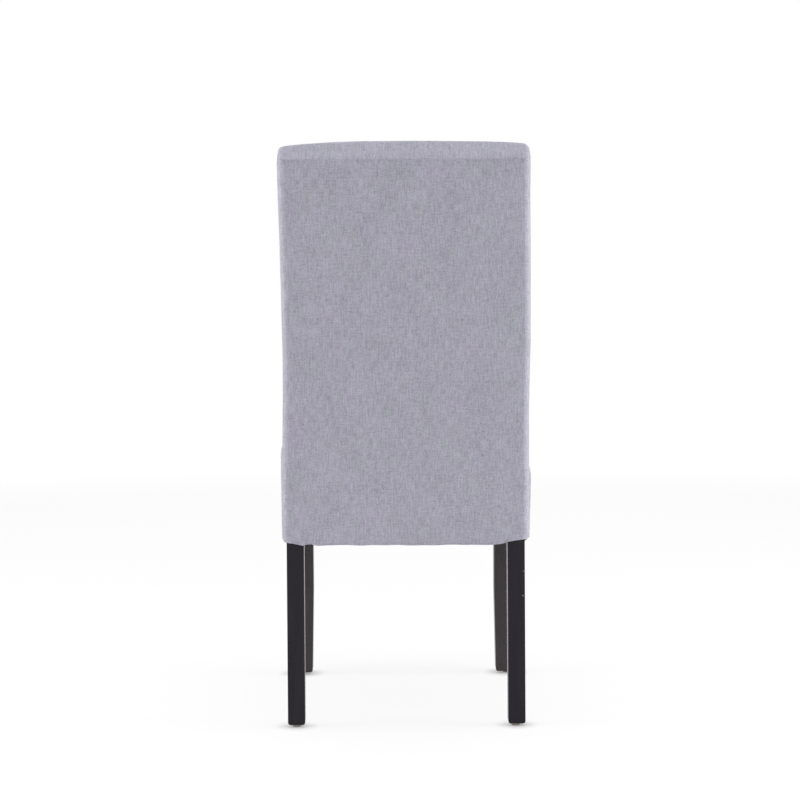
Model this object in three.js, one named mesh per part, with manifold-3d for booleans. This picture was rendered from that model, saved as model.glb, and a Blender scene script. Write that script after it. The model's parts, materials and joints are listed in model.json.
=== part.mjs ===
// Parsons dining chair with a raked high back, a closed upholstered seat and four square legs.
// Millimetres, +Z up, the sitter faces -Y and the sitter's left is +X.
// The origin is on the floor, under the middle of the chair.
import * as THREE from 'three';
import { mergeVertices } from 'three/addons/utils/BufferGeometryUtils.js';
import Module from 'manifold-3d';

const wasm = await Module();
wasm.setup();

// Clearances
const fit = 0.3;
const seamGap = 0.4;
const overrun = 20;

// Whole chair
const overallHeight = 1000;
const hemHeight = 313;
const footSpacing = 460;

// Upholstery layers over the outside faces of the frame: rear and front, the back's sides, the seat's sides
const clothThickness = 1.6;
const waddingThickness = 7.3;
const backSideWadding = 4.8;
const seatSideWadding = 12.8;
const underCover = clothThickness + fit;
const coverStack = underCover + waddingThickness + fit;

// Glides
const glideDiameter = 15;
const glideHeight = 6;
const glideLip = 1;
const nailDiameter = 3.2;
const nailLength = 18;

// Rear posts, each a leg and a back upright sawn from one plank
const postWidth = 29.5;
const postOuter = 203;
const postDepth = 40;
const postTopDepth = 28;
const topPadding = 38;
const postTop = overallHeight - topPadding;
const rearFootDepth = 32;
const rearFootSplay = 15;
const rakeRise = 36;
const rakeBlend = 70;
const rakeAngle = THREE.MathUtils.degToRad(7.5);

// Front legs
const frontLegWidth = 44.5;
const frontLegOuter = 216;
const frontLegTaper = 3.2;
const taperHeight = 165;

// Seat frame
const railThickness = 22;
const railHeight = 76;
const hemDrop = 5;
const railBottom = hemHeight + hemDrop;
const railTop = railBottom + railHeight;
const rakeStart = railTop + rakeRise;
const rearRailSetback = 7;
const tenonThickness = 8;
const tenonShoulder = 8;
const sideTenonLength = 16;
const rearTenonLength = 12;
const frontTenonLength = 16;

// Back rails
const backRailThickness = 20;
const lowerBackRailHeight = 46;
const middleBackRailHeight = 40;
const crestRailHeight = 62;
const crestRailDrop = 2;
const lowerBackRailRise = 90;
const lowerBackRailLevel = rakeStart + lowerBackRailRise;
const backStretch = postTop - lowerBackRailLevel;
const middleBackRailShare = 0.44;
const backTenonLength = 12;
const backTenonThickness = 8;

// Corner blocks and their fasteners
const blockReach = 52;
const blockHeight = 40;
const blockDrop = 14;
const boltDiameter = 8;
const boltLength = 62;
const nutAcross = 13;
const nutHeight = 6.5;
const washerDiameter = 20;
const washerThickness = 1.6;
const screwDiameter = 4;
const screwBiteShare = 0.7;
const screwHeadDiameter = 8;
const screwHeadHeight = 2.6;

// Webbing and deck under the seat foam
const strapWidth = 50;
const strapThickness = 2;
const strapRise = 1.25;
const longStrapShare = 0.63;
const crossStrapShare = 0.5;
const deckThickness = 1;

// Webbing behind the inside back, between the lower back rail and the top of the posts
const backStrapShares = [0.15, 0.295, 0.63, 0.78];

// Rear board behind the posts
const boardThickness = 3;
const boardSetback = 12;
const boardDrop = 14;
const boardTop = postTop - boardDrop;

// Back upholstery
const padDepth = 42;
const padTopDepth = 34;
const backCorner = 13;
const backFrontCorner = 20;
const tuckCorner = 4;
const topBand = 32;
const bevelDepth = 30;
const frontTopRadius = 26;
const topCorner = 11;
const bandNarrowing = 2.5;
const topArch = 5.5;
const archStart = 60;
const seamInset = 10;
const insideBackCrown = 7;
const insideBackWadding = 10;

// Seat upholstery
const seatSideRise = 24;
const seatSideHeight = railTop + seatSideRise;
const seatBulge = 1.5;
const seatRoll = 30;
const seatRollRise = 36;
const seatCrown = 13;
const seatCorner = 20;
const seatFrontBow = 3;
const seatRollPower = 2.4;
const seatCrownShares = [0.25, 0.6, 1];
const seatCrownReach = 150;
const cornerGrowthShare = 0.15;

// Dust cover
const dustThickness = 1;
const dustOverlap = 12;

// Heights of the back's sections between the hem and the top band, as shares of that stretch
const backLevelShares = [0.05, 0.14, 0.2, 0.26, 0.32, 0.5, 0.68, 0.86];
const topLevelShares = [0, 0.4, 0.68, 0.86, 0.96, 1];
const seatSkirtShares = [0, 0.62, 1];
const cornerSteps = 3;
const spanSteps = 6;
const rollSteps = 4;
const roundSides = 16;

// Finishes
const cloth = { color: 0xa3a2af, roughness: 0.95, metalness: 0 };
const blackWood = { color: 0x262525, roughness: 0.42, metalness: 0 };
const rawWood = { color: 0xc8a878, roughness: 0.75, metalness: 0 };
const foam = { color: 0xe9e2c4, roughness: 1, metalness: 0 };
const wadding = { color: 0xf1f1ee, roughness: 1, metalness: 0 };
const webbing = { color: 0x2f3133, roughness: 0.9, metalness: 0 };
const deckCloth = { color: 0xb59e74, roughness: 1, metalness: 0 };
const dustCloth = { color: 0x1b1b1d, roughness: 1, metalness: 0 };
const board = { color: 0xa98f6a, roughness: 0.9, metalness: 0 };
const zinc = { color: 0xb8b9b4, roughness: 0.35, metalness: 1 };
const glideSteel = { color: 0x8d7f70, roughness: 0.4, metalness: 0.9 };

// Side lines of the chair, each a depth that belongs to a height
const footRear = rearFootSplay;
const frontLegRear = footRear - footSpacing - frontLegTaper;
const frontLegFront = frontLegRear + frontLegTaper - frontLegWidth;
const frontLegBack = frontLegFront + frontLegWidth;
const backHalfWidth = postOuter + fit + backSideWadding + underCover;
const seatRearHalf = postOuter + fit + seatSideWadding + underCover;
const seatFrontHalf = frontLegOuter + fit + seatSideWadding + underCover;
const seatFront = frontLegFront - coverStack;
const seatRear = -postDepth - padDepth;
const topSeamHeight = overallHeight - topBand;
const deckBottom = railTop + fit + strapThickness + strapRise + fit;
const deckTop = deckBottom + deckThickness;
const seatCutHeight = deckTop + fit;

// How far the back has leaned at a height
function lean(height) {
  const rise = height - rakeStart;
  const slope = Math.tan(rakeAngle);
  if (rise <= 0) {
    return 0;
  }
  if (rise < rakeBlend) {
    return slope * rise * rise / (2 * rakeBlend);
  }
  return slope * (rise - rakeBlend / 2);
}

// A size that changes evenly from the start of the rake to the top of the posts
function alongPost(height, low, high) {
  const share = THREE.MathUtils.clamp((height - rakeStart) / (postTop - rakeStart), 0, 1);
  return THREE.MathUtils.lerp(low, high, share);
}

function postFront(height) {
  return lean(height) - alongPost(height, postDepth, postTopDepth);
}

function postMiddle(height) {
  return (lean(height) + postFront(height)) / 2;
}

function insideBack(height) {
  return postFront(height) - alongPost(height, padDepth, padTopDepth);
}

function outsideBack(height) {
  return lean(height) + coverStack;
}

// The chair stands centred over its origin
const rearmost = outsideBack(topSeamHeight);
const frontmost = seatFront - seatBulge - seatFrontBow;
const chair = new THREE.Group();
chair.name = 'parsons_chair';
const body = new THREE.Group();
body.position.y = -(rearmost + frontmost) / 2;
chair.add(body);

function addPiece(name, geometry, finish) {
  const mesh = new THREE.Mesh(geometry, new THREE.MeshStandardMaterial(finish));
  mesh.name = name;
  body.add(mesh);
  return mesh;
}

// Solids and geometries
function toSolid(geometry) {
  const bare = geometry.clone();
  bare.deleteAttribute('normal');
  bare.deleteAttribute('uv');
  const merged = mergeVertices(bare);
  return new wasm.Manifold(new wasm.Mesh({
    numProp: 3,
    vertProperties: new Float32Array(merged.attributes.position.array),
    triVerts: new Uint32Array(merged.index.array),
  }));
}

function toGeometry(solid) {
  const mesh = solid.getMesh();
  const geometry = new THREE.BufferGeometry();
  geometry.setAttribute('position', new THREE.BufferAttribute(mesh.vertProperties, 3));
  geometry.setIndex(new THREE.BufferAttribute(mesh.triVerts, 1));
  geometry.computeVertexNormals();
  return geometry;
}

function cut(geometry, tools) {
  const tool = tools.map(toSolid).reduce((all, next) => all.add(next));
  return toGeometry(toSolid(geometry).subtract(tool));
}

function join(parts) {
  return toGeometry(parts.map(toSolid).reduce((all, next) => all.add(next)));
}

function keep(geometry, region) {
  return toGeometry(toSolid(geometry).intersect(toSolid(region)));
}

function shapeOf(points) {
  return new THREE.Shape(points.map(([across, up]) => new THREE.Vector2(across, up)));
}

// A plan outline in X and Y, raised between two heights
function plate(points, bottom, top) {
  const geometry = new THREE.ExtrudeGeometry(shapeOf(points), { depth: top - bottom, bevelEnabled: false });
  return geometry.translate(0, 0, bottom);
}

// A side outline in Y and Z, spread between two places across the chair
function sidePlate(points, left, right) {
  const geometry = new THREE.ExtrudeGeometry(shapeOf(points), { depth: right - left, bevelEnabled: false });
  geometry.translate(0, 0, left);
  const turn = new THREE.Matrix4().makeBasis(
    new THREE.Vector3(0, 1, 0),
    new THREE.Vector3(0, 0, 1),
    new THREE.Vector3(1, 0, 0),
  );
  return geometry.applyMatrix4(turn);
}

// A front outline in X and Z, spread between two depths
function frontPlate(points, front, rear) {
  const geometry = new THREE.ExtrudeGeometry(shapeOf(points), { depth: rear - front, bevelEnabled: false });
  geometry.rotateX(Math.PI / 2);
  return geometry.translate(0, rear, 0);
}

function block(x0, x1, y0, y1, z0, z1) {
  const geometry = new THREE.BoxGeometry(x1 - x0, y1 - y0, z1 - z0);
  return geometry.translate((x0 + x1) / 2, (y0 + y1) / 2, (z0 + z1) / 2);
}

function mirrored(points, side) {
  return points.map(([x, y]) => [side * x, y]);
}

// Feet and their nails
function footCentre(side, isRear) {
  const x = isRear ? postOuter - postWidth / 2 : frontLegOuter - (frontLegWidth - frontLegTaper) / 2;
  const y = isRear ? footRear - rearFootDepth / 2 : (frontLegFront + frontLegBack - frontLegTaper) / 2;
  return [side * x, y];
}

function glideGeometry(slack) {
  const radius = glideDiameter / 2;
  const shank = nailDiameter / 2 + slack;
  const profile = [
    new THREE.Vector2(0, 0),
    new THREE.Vector2(radius - glideLip, 0),
    new THREE.Vector2(radius, glideLip),
    new THREE.Vector2(radius, glideHeight - fit),
    new THREE.Vector2(shank, glideHeight - fit),
    new THREE.Vector2(shank, glideHeight + nailLength - shank + slack),
    new THREE.Vector2(0, glideHeight + nailLength + slack),
  ];
  return new THREE.LatheGeometry(profile, roundSides).rotateX(Math.PI / 2);
}

function addGlide(name, side, isRear) {
  const [x, y] = footCentre(side, isRear);
  addPiece(name, glideGeometry(0), glideSteel).position.set(x, y, 0);
}

// Rear posts
function postOutline() {
  const bendSteps = 4;
  const rear = [[footRear, glideHeight], [0, railBottom - tenonShoulder]];
  const front = [[footRear - rearFootDepth, glideHeight], [-postDepth, railBottom - tenonShoulder]];
  for (let step = 0; step <= bendSteps; step += 1) {
    const height = rakeStart + rakeBlend * step / bendSteps;
    rear.push([lean(height), height]);
    front.push([postFront(height), height]);
  }
  rear.push([lean(postTop), postTop]);
  front.push([postFront(postTop), postTop]);
  return [...rear, ...front.reverse()];
}

function addPost(name, side) {
  const inner = side * (postOuter - postWidth);
  const outer = side * postOuter;
  const stock = sidePlate(postOutline(), Math.min(inner, outer), Math.max(inner, outer));
  const [x, y] = footCentre(side, true);
  const sockets = [
    sideRailTenons(side, fit),
    rearRailTenons(fit),
    ...backRails.map((rail) => backRailTenons(rail, fit)),
    glideGeometry(fit).translate(x, y, 0),
  ];
  addPiece(name, cut(stock, sockets), blackWood);
}

// Front legs
function frontLegGeometry(side) {
  const outer = frontLegOuter;
  const inner = frontLegOuter - frontLegWidth;
  const front = frontLegFront;
  const rear = frontLegBack;
  const footInner = inner + frontLegTaper;
  const footRearFace = rear - frontLegTaper;
  const frontOutline = [
    [outer, glideHeight],
    [outer, railTop],
    [inner, railTop],
    [inner, taperHeight],
    [footInner, glideHeight],
  ];
  const frontView = frontPlate(mirrored(frontOutline, side), front, rear);
  const sideOutline = [
    [front, glideHeight],
    [footRearFace, glideHeight],
    [rear, taperHeight],
    [rear, railTop],
    [front, railTop],
  ];
  const left = Math.min(side * inner, side * outer);
  const sideView = sidePlate(sideOutline, left, left + frontLegWidth);
  return keep(frontView, sideView);
}

function addFrontLeg(name, side) {
  const [x, y] = footCentre(side, false);
  const sockets = [
    sideRailTenons(side, fit),
    frontRailTenons(fit),
    boltGeometry(side, fit),
    glideGeometry(fit).translate(x, y, 0),
  ];
  addPiece(name, cut(frontLegGeometry(side), sockets), blackWood);
}

// Side rails run from the front leg's rear face to the post's front face, flush with both outside
function sideRailX(y, setIn) {
  const share = (y + postDepth) / (frontLegBack + postDepth);
  return THREE.MathUtils.lerp(postOuter, frontLegOuter, share) - setIn;
}

function sideRailStrip(near, far, fromY, toY) {
  return [
    [sideRailX(fromY, near), fromY],
    [sideRailX(toY, near), toY],
    [sideRailX(toY, far), toY],
    [sideRailX(fromY, far), fromY],
  ];
}

function sideRailTenons(side, slack) {
  const near = (railThickness - tenonThickness) / 2 - slack;
  const far = (railThickness + tenonThickness) / 2 + slack;
  const strip = sideRailStrip(near, far, -postDepth + sideTenonLength + slack,
    frontLegBack - sideTenonLength - slack);
  const shoulder = tenonShoulder - slack;
  return plate(mirrored(strip, side), railBottom + shoulder, railTop - shoulder);
}

function addSideRail(name, side) {
  const strip = sideRailStrip(0, railThickness, -postDepth - fit, frontLegBack + fit);
  const stock = plate(mirrored(strip, side), railBottom, railTop);
  const blank = join([stock, sideRailTenons(side, 0)]);
  addPiece(name, cut(blank, [...blockScrews(side, true, fit), ...blockScrews(side, false, fit)]), rawWood);
}

// Front and rear seat rails
function crossRailTenons(halfSpan, length, front, slack) {
  const near = front + (railThickness - tenonThickness) / 2 - slack;
  const reach = halfSpan + length + slack;
  const shoulder = tenonShoulder - slack;
  const far = near + tenonThickness + 2 * slack;
  return block(-reach, reach, near, far, railBottom + shoulder, railTop - shoulder);
}

const rearRailFront = -rearRailSetback - railThickness;
const postInner = postOuter - postWidth;
const frontLegInner = frontLegOuter - frontLegWidth;

function frontRailTenons(slack) {
  return crossRailTenons(frontLegInner, frontTenonLength, frontLegFront, slack);
}

function rearRailTenons(slack) {
  return crossRailTenons(postInner, rearTenonLength, rearRailFront, slack);
}

function addCrossRail(name, halfSpan, front, tenons, isRear) {
  const reach = halfSpan - fit;
  const stock = block(-reach, reach, front, front + railThickness, railBottom, railTop);
  const screws = [...blockScrews(1, isRear, fit), ...blockScrews(-1, isRear, fit)];
  addPiece(name, cut(join([stock, tenons]), screws), rawWood);
}

// Back rails stand square to the leaning posts
const backRails = [
  { name: 'lower_back_rail', level: lowerBackRailLevel, height: lowerBackRailHeight },
  {
    name: 'middle_back_rail',
    level: lowerBackRailLevel + middleBackRailShare * backStretch,
    height: middleBackRailHeight,
  },
  { name: 'crest_rail', level: postTop - crestRailDrop - crestRailHeight / 2, height: crestRailHeight },
];

function placeOnBack(geometry, level, y) {
  const tilt = Math.atan((postMiddle(postTop) - postMiddle(level)) / (postTop - level + fit));
  return geometry.rotateX(-tilt).translate(0, y, level);
}

function backRailTenons(rail, slack) {
  const reach = postInner + backTenonLength + slack;
  const half = backTenonThickness / 2 + slack;
  const rise = rail.height / 2 - tenonShoulder + slack;
  return placeOnBack(block(-reach, reach, -half, half, -rise, rise), rail.level, postMiddle(rail.level));
}

function addBackRail(rail) {
  const reach = postInner - fit;
  const half = backRailThickness / 2;
  const rise = rail.height / 2;
  const blank = block(-reach, reach, -half, half, -rise, rise);
  const stock = placeOnBack(blank, rail.level, postMiddle(rail.level));
  addPiece(rail.name, join([stock, backRailTenons(rail, 0)]), rawWood);
}

// Corner blocks fill the angle between two rails and are notched round the leg
function blockOutline(isRear) {
  const railFace = isRear ? rearRailFront - fit : frontLegFront + railThickness + fit;
  const legFace = isRear ? -postDepth - fit : frontLegBack + fit;
  const legSide = (isRear ? postInner : frontLegInner) - fit;
  const inward = isRear ? -1 : 1;
  const tail = legFace + inward * blockReach;
  return [
    [legSide - blockReach, railFace],
    [legSide, railFace],
    [legSide, legFace],
    [sideRailX(legFace, railThickness + fit), legFace],
    [sideRailX(tail, railThickness + fit), tail],
  ];
}

const blockTop = railTop - blockDrop;
const blockBottom = blockTop - blockHeight;

function addCornerBlock(name, side, isRear) {
  const stock = plate(mirrored(blockOutline(isRear), side), blockBottom, blockTop);
  const tools = blockScrews(side, isRear, fit);
  if (!isRear) {
    tools.push(boltGeometry(side, fit));
  }
  addPiece(name, cut(stock, tools), rawWood);
}

// The sloping inner face of a corner block, from its cross-rail end to its side-rail end
function blockFace(side, isRear) {
  const outline = blockOutline(isRear);
  const start = new THREE.Vector3(side * outline[0][0], outline[0][1], 0);
  const end = new THREE.Vector3(side * outline[4][0], outline[4][1], 0);
  const along = end.clone().sub(start).normalize();
  const outward = new THREE.Vector3(0, 0, 1).cross(along);
  const towardLeg = new THREE.Vector3(side, isRear ? 1 : -1, 0);
  if (outward.dot(towardLeg) < 0) {
    outward.negate();
  }
  return { start, end, outward };
}

function placeFastener(geometry, head, direction) {
  const turn = new THREE.Quaternion().setFromUnitVectors(new THREE.Vector3(0, 1, 0), direction);
  return geometry.applyQuaternion(turn).translate(head.x, head.y, head.z);
}

// A countersunk screw through each end of a corner block into the rail behind it
const screwPlaceShares = [0.24, 0.76];

function screwGeometry(length, slack) {
  const shank = screwDiameter / 2 + slack;
  const head = screwHeadDiameter / 2 + slack;
  const mouth = slack > 0 ? -screwHeadDiameter : 0;
  const profile = [
    new THREE.Vector2(0, mouth),
    ...(slack > 0 ? [new THREE.Vector2(head, mouth)] : []),
    new THREE.Vector2(head, 0),
    new THREE.Vector2(shank, screwHeadHeight + slack),
    new THREE.Vector2(shank, length - screwDiameter + slack),
    new THREE.Vector2(0, length + slack),
  ];
  return new THREE.LatheGeometry(profile, roundSides / 2);
}

function blockScrews(side, isRear, slack) {
  const { start, end } = blockFace(side, isRear);
  const toRail = [new THREE.Vector3(0, isRear ? 1 : -1, 0), new THREE.Vector3(side, 0, 0)];
  const railFace = [start, end];
  const middle = (blockTop + blockBottom) / 2;
  return screwPlaceShares.map((share, index) => {
    const head = start.clone().lerp(end, share).setZ(middle);
    head.addScaledVector(toRail[index], screwHeadDiameter / 2);
    const length = railFace[index].clone().sub(head).dot(toRail[index]) + screwBiteShare * railThickness;
    return placeFastener(screwGeometry(length, slack), head, toRail[index]);
  });
}

function addBlockScrews(name, side, isRear) {
  blockScrews(side, isRear, 0).forEach((geometry, index) => {
    addPiece(`${name}_screw_${index + 1}`, geometry, zinc);
  });
}

// A hanger bolt runs through each front block into the leg's inner corner, with a nut and washer on the block
function boltProfile(slack) {
  const shank = boltDiameter / 2 + slack;
  const washer = washerDiameter / 2 + slack;
  const nut = nutAcross / 2 + slack;
  const tip = boltLength + slack;
  return [
    new THREE.Vector2(0, -nutHeight - washerThickness - boltDiameter / 2),
    new THREE.Vector2(shank, -nutHeight - washerThickness - boltDiameter / 2),
    new THREE.Vector2(shank, -nutHeight - washerThickness),
    new THREE.Vector2(nut, -nutHeight - washerThickness),
    new THREE.Vector2(nut, -washerThickness),
    new THREE.Vector2(washer, -washerThickness),
    new THREE.Vector2(washer, 0),
    new THREE.Vector2(shank, 0),
    new THREE.Vector2(shank, tip - boltDiameter),
    new THREE.Vector2(0, tip),
  ];
}

function boltGeometry(side, slack) {
  const { start, end, outward } = blockFace(side, false);
  const head = start.clone().lerp(end, 1 / 2).setZ((blockTop + blockBottom) / 2 + screwHeadDiameter);
  head.addScaledVector(outward, -fit);
  return placeFastener(new THREE.LatheGeometry(boltProfile(slack), roundSides / 2), head, outward);
}

function addLegBolt(name, side) {
  addPiece(name, boltGeometry(side, 0), zinc);
}

// Webbing straps lie on the rail tops and pass over and under each other where they cross
const crossStrapMiddle = (rearRailFront + frontLegFront + railThickness) / 2;
const longStrapPitch = longStrapShare * frontLegInner;
const crossStrapPitch = crossStrapShare * (rearRailFront - crossStrapMiddle);
const strapPlaceShares = [-1, 0, 1];

function strapOutline(from, to, crossings, firstUp) {
  const rest = railTop + fit + strapThickness / 2;
  const stations = [[from, rest], [from + railThickness, rest]];
  crossings.forEach((place, index) => {
    const sign = (index % 2 === 0) === firstUp ? 1 : -1;
    stations.push([place - strapWidth / 2, rest + sign * strapRise]);
    stations.push([place + strapWidth / 2, rest + sign * strapRise]);
  });
  stations.push([to - railThickness, rest], [to, rest]);
  const upper = stations.map(([place, height]) => [place, height + strapThickness / 2]);
  const lower = stations.map(([place, height]) => [place, height - strapThickness / 2]);
  return [...lower, ...upper.reverse()];
}

function addLongStrap(index) {
  const middle = strapPlaceShares[index] * longStrapPitch;
  const crossings = strapPlaceShares.map((share) => crossStrapMiddle + share * crossStrapPitch);
  const end = rearRailFront + railThickness - fit;
  const outline = strapOutline(frontLegFront + fit, end, crossings, index % 2 === 0);
  const geometry = sidePlate(outline, middle - strapWidth / 2, middle + strapWidth / 2);
  addPiece(`seat_strap_long_${index + 1}`, geometry, webbing);
}

function addCrossStrap(index) {
  const middle = crossStrapMiddle + strapPlaceShares[index] * crossStrapPitch;
  const crossings = strapPlaceShares.map((share) => share * longStrapPitch);
  const reach = sideRailX(middle + strapWidth / 2, fit);
  const outline = strapOutline(-reach, reach, crossings, index % 2 === 1);
  const geometry = frontPlate(outline, middle - strapWidth / 2, middle + strapWidth / 2);
  addPiece(`seat_strap_cross_${index + 1}`, geometry, webbing);
}

// Deck cloth over the webbing, notched round the posts
function addDeck() {
  const front = frontLegFront + fit;
  const notch = -postDepth - fit;
  const rear = rearRailFront + railThickness - fit;
  const halfPlan = [
    [frontLegOuter - fit, front],
    [sideRailX(notch, fit), notch],
    [postInner - fit, notch],
    [postInner - fit, rear],
  ];
  const outline = [...halfPlan, ...mirrored(halfPlan, -1).reverse()];
  addPiece('seat_deck_cloth', plate(outline, deckBottom, deckTop), deckCloth);
}

// Straps across the front of the back posts
function addBackStrap(share, index) {
  const level = lowerBackRailLevel + share * backStretch;
  const reach = postOuter - fit;
  const rise = strapWidth / 2;
  const outline = [-1, 1].map((sign) => [postFront(level + sign * rise) - fit, level + sign * rise]);
  const front = outline.map(([y, z]) => [y - strapThickness, z]).reverse();
  addPiece(`back_strap_${index + 1}`, sidePlate([...outline, ...front], -reach, reach), webbing);
}

// Rear board on the backs of the posts
function backLine(depthAt, bottom, top) {
  const bendSteps = 4;
  const line = [[depthAt(bottom), bottom]];
  for (let step = 0; step <= bendSteps; step += 1) {
    const height = rakeStart + rakeBlend * step / bendSteps;
    line.push([depthAt(height), height]);
  }
  line.push([depthAt(top), top]);
  return line;
}

function addBoard() {
  const inner = backLine((height) => lean(height) + fit, railBottom, boardTop);
  const outer = backLine((height) => lean(height) + fit + boardThickness, railBottom, boardTop);
  const reach = postOuter - boardSetback;
  addPiece('rear_board', sidePlate([...inner, ...outer.reverse()], -reach, reach), board);
}

// One level ring of an upholstered form: the front run from left to right, then the rear run back again
function ring({ frontHalf, rearHalf, front, rear, frontRadius, rearRadius, bow, heightAt }) {
  const points = [];
  const corner = (cx, cy, radius, from) => {
    for (let step = 0; step <= cornerSteps; step += 1) {
      const angle = from + (Math.PI / 2) * step / cornerSteps;
      points.push([cx + radius * Math.cos(angle), cy + radius * Math.sin(angle)]);
    }
  };
  const span = (half, y, direction, swell) => {
    for (let step = 1; step < spanSteps; step += 1) {
      const share = 2 * step / spanSteps - 1;
      points.push([direction * share * half, y - swell * (1 - share * share)]);
    }
  };
  corner(-frontHalf + frontRadius, front + frontRadius, frontRadius, Math.PI);
  span(frontHalf - frontRadius, front, 1, bow);
  corner(frontHalf - frontRadius, front + frontRadius, frontRadius, 3 * Math.PI / 2);
  corner(rearHalf - rearRadius, rear - rearRadius, rearRadius, 0);
  span(rearHalf - rearRadius, rear, -1, 0);
  corner(-rearHalf + rearRadius, rear - rearRadius, rearRadius, Math.PI / 2);
  return points.map(([x, y]) => new THREE.Vector3(x, y, heightAt(x)));
}

// A closed skin over a stack of rings, or between an outer and an inner stack that is open below
function skin(rings, innerRings) {
  const count = rings[0].length;
  const last = count / 2 - 1;
  const faces = [];
  const walls = (offset, flip, levels) => {
    const quad = (a, b, c, d) => {
      if (flip) {
        faces.push(a, c, b, a, d, c);
      } else {
        faces.push(a, b, c, a, c, d);
      }
    };
    for (let level = 0; level < levels - 1; level += 1) {
      for (let index = 0; index < count; index += 1) {
        const next = (index + 1) % count;
        const low = offset + level * count;
        quad(low + index, low + next, low + count + next, low + count + index);
      }
    }
    const top = offset + (levels - 1) * count;
    for (let index = 0; index < last; index += 1) {
      quad(top + index, top + index + 1, top + count - 2 - index, top + count - 1 - index);
    }
  };
  walls(0, false, rings.length);
  const outerCount = rings.length * count;
  if (innerRings) {
    walls(outerCount, true, innerRings.length);
    for (let index = 0; index < count; index += 1) {
      const next = (index + 1) % count;
      faces.push(next, index, outerCount + index, next, outerCount + index, outerCount + next);
    }
  } else {
    for (let index = 0; index < last; index += 1) {
      const a = index;
      const b = index + 1;
      const c = count - 2 - index;
      const d = count - 1 - index;
      faces.push(a, c, b, a, d, c);
    }
  }
  const points = [...rings.flat(), ...(innerRings ?? []).flat()];
  const geometry = new THREE.BufferGeometry().setFromPoints(points);
  geometry.setIndex(faces);
  geometry.computeVertexNormals();
  return geometry;
}

// How far a rounded edge has drawn in at a height, for an arc that ends at the top
function drawIn(height, top, radius) {
  const above = height - (top - radius);
  if (above <= 0) {
    return 0;
  }
  return radius - Math.sqrt(Math.max(radius * radius - above * above, 0));
}

// The back's outer form, drawn in by an inset on every side
function backRing(height, inset) {
  const above = THREE.MathUtils.clamp((height - topSeamHeight) / topBand, 0, 1);
  const arch = topArch * THREE.MathUtils.clamp((height - overallHeight + archStart) / archStart, 0, 1);
  const half = backHalfWidth - inset - bandNarrowing * above - drawIn(height, overallHeight, topCorner);
  const grown = THREE.MathUtils.clamp((height - seatSideHeight) / archStart, 0, 1);
  const frontRadius = THREE.MathUtils.lerp(tuckCorner, backFrontCorner, grown);
  return ring({
    frontHalf: half,
    rearHalf: half,
    front: insideBack(height) + inset + drawIn(height, overallHeight, frontTopRadius),
    rear: outsideBack(height) - inset - bevelDepth * above,
    frontRadius: Math.max(frontRadius - inset, fit),
    rearRadius: Math.max(backCorner - inset, fit),
    bow: insideBackCrown * Math.sin(Math.PI * THREE.MathUtils.clamp(
      (height - seatSideHeight) / (overallHeight - seatSideHeight), 0, 1)),
    heightAt: (x) => height - inset * above - arch * (x / half) ** 2,
  });
}

function backRings(inset, bottom) {
  const stretch = topSeamHeight - hemHeight;
  const heights = [bottom, ...backLevelShares.map((share) => hemHeight + share * stretch)];
  heights.push(...topLevelShares.map((share) => topSeamHeight + share * topBand));
  return heights.map((height) => backRing(height, inset));
}

// A slab of the back between two leaning lines, from below the hem to a top
function backSlab(frontAt, rearAt, reach, top) {
  const low = hemHeight - overrun;
  const upright = (y) => [[y, low], [y, top]];
  const front = frontAt ? backLine(frontAt, low, top) : upright(seatRear - overrun);
  const rear = rearAt ? backLine(rearAt, low, top) : upright(rearmost + overrun);
  return sidePlate([...front, ...rear.reverse()], -reach, reach);
}

// The room under the deck, where the side rails pass between the seat and the back
function railRoom() {
  const front = seatRear - overrun;
  const halfPlan = [
    [sideRailX(front, -fit), front],
    [postOuter + fit, -postDepth],
    [postOuter + fit, -postDepth / 2],
  ];
  const outline = [...halfPlan, ...mirrored(halfPlan, -1).reverse()];
  return plate(outline, hemHeight - overrun, seatCutHeight);
}

// The foam slab stands on the deck's level against the straps, and the wadding goes round slab, posts and board
function addBackPadding() {
  const foamFront = (height) => insideBack(height) + underCover + insideBackWadding + fit;
  const foamRear = (height) => postFront(height) - strapThickness - 2 * fit;
  const boardRear = (height) => lean(height) + boardThickness + 2 * fit;
  const slab = backSlab(foamFront, foamRear, postOuter, postTop);
  addPiece('inside_back_foam', cut(slab, [railRoom()]), foam);
  const form = skin(backRings(underCover, railBottom), null);
  const room = backSlab((height) => foamFront(height) - fit, boardRear, postOuter + fit, postTop + fit);
  addPiece('back_wadding', cut(form, [room, railRoom()]), wadding);
}

// The four sewn panels of the back cover are cut from one skin
function backSkin() {
  return skin(backRings(0, hemHeight), backRings(clothThickness, hemHeight));
}

const panelHalf = backHalfWidth - seamInset;

function addInsideBackCover(whole) {
  const low = cut(backSlab(null, postMiddle, panelHalf, topSeamHeight + seamGap), [railRoom()]);
  const reach = backHalfWidth + overrun;
  const top = overallHeight + overrun;
  const cap = block(-reach, reach, seatRear - overrun, rearmost + overrun, topSeamHeight, top);
  addPiece('inside_back_cover', keep(whole, join([low, cap])), cloth);
}

function addOutsideBackCover(whole) {
  const region = backSlab(postMiddle, null, panelHalf, topSeamHeight - seamGap);
  addPiece('outside_back_cover', keep(whole, region), cloth);
}

function addBackBoxing(name, side, whole) {
  const inner = side * (panelHalf + seamGap);
  const outer = side * (backHalfWidth + overrun);
  const region = block(Math.min(inner, outer), Math.max(inner, outer), seatRear - overrun, rearmost + overrun,
    hemHeight - overrun, topSeamHeight - seamGap);
  addPiece(name, cut(keep(whole, region), [railRoom()]), cloth);
}

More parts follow.
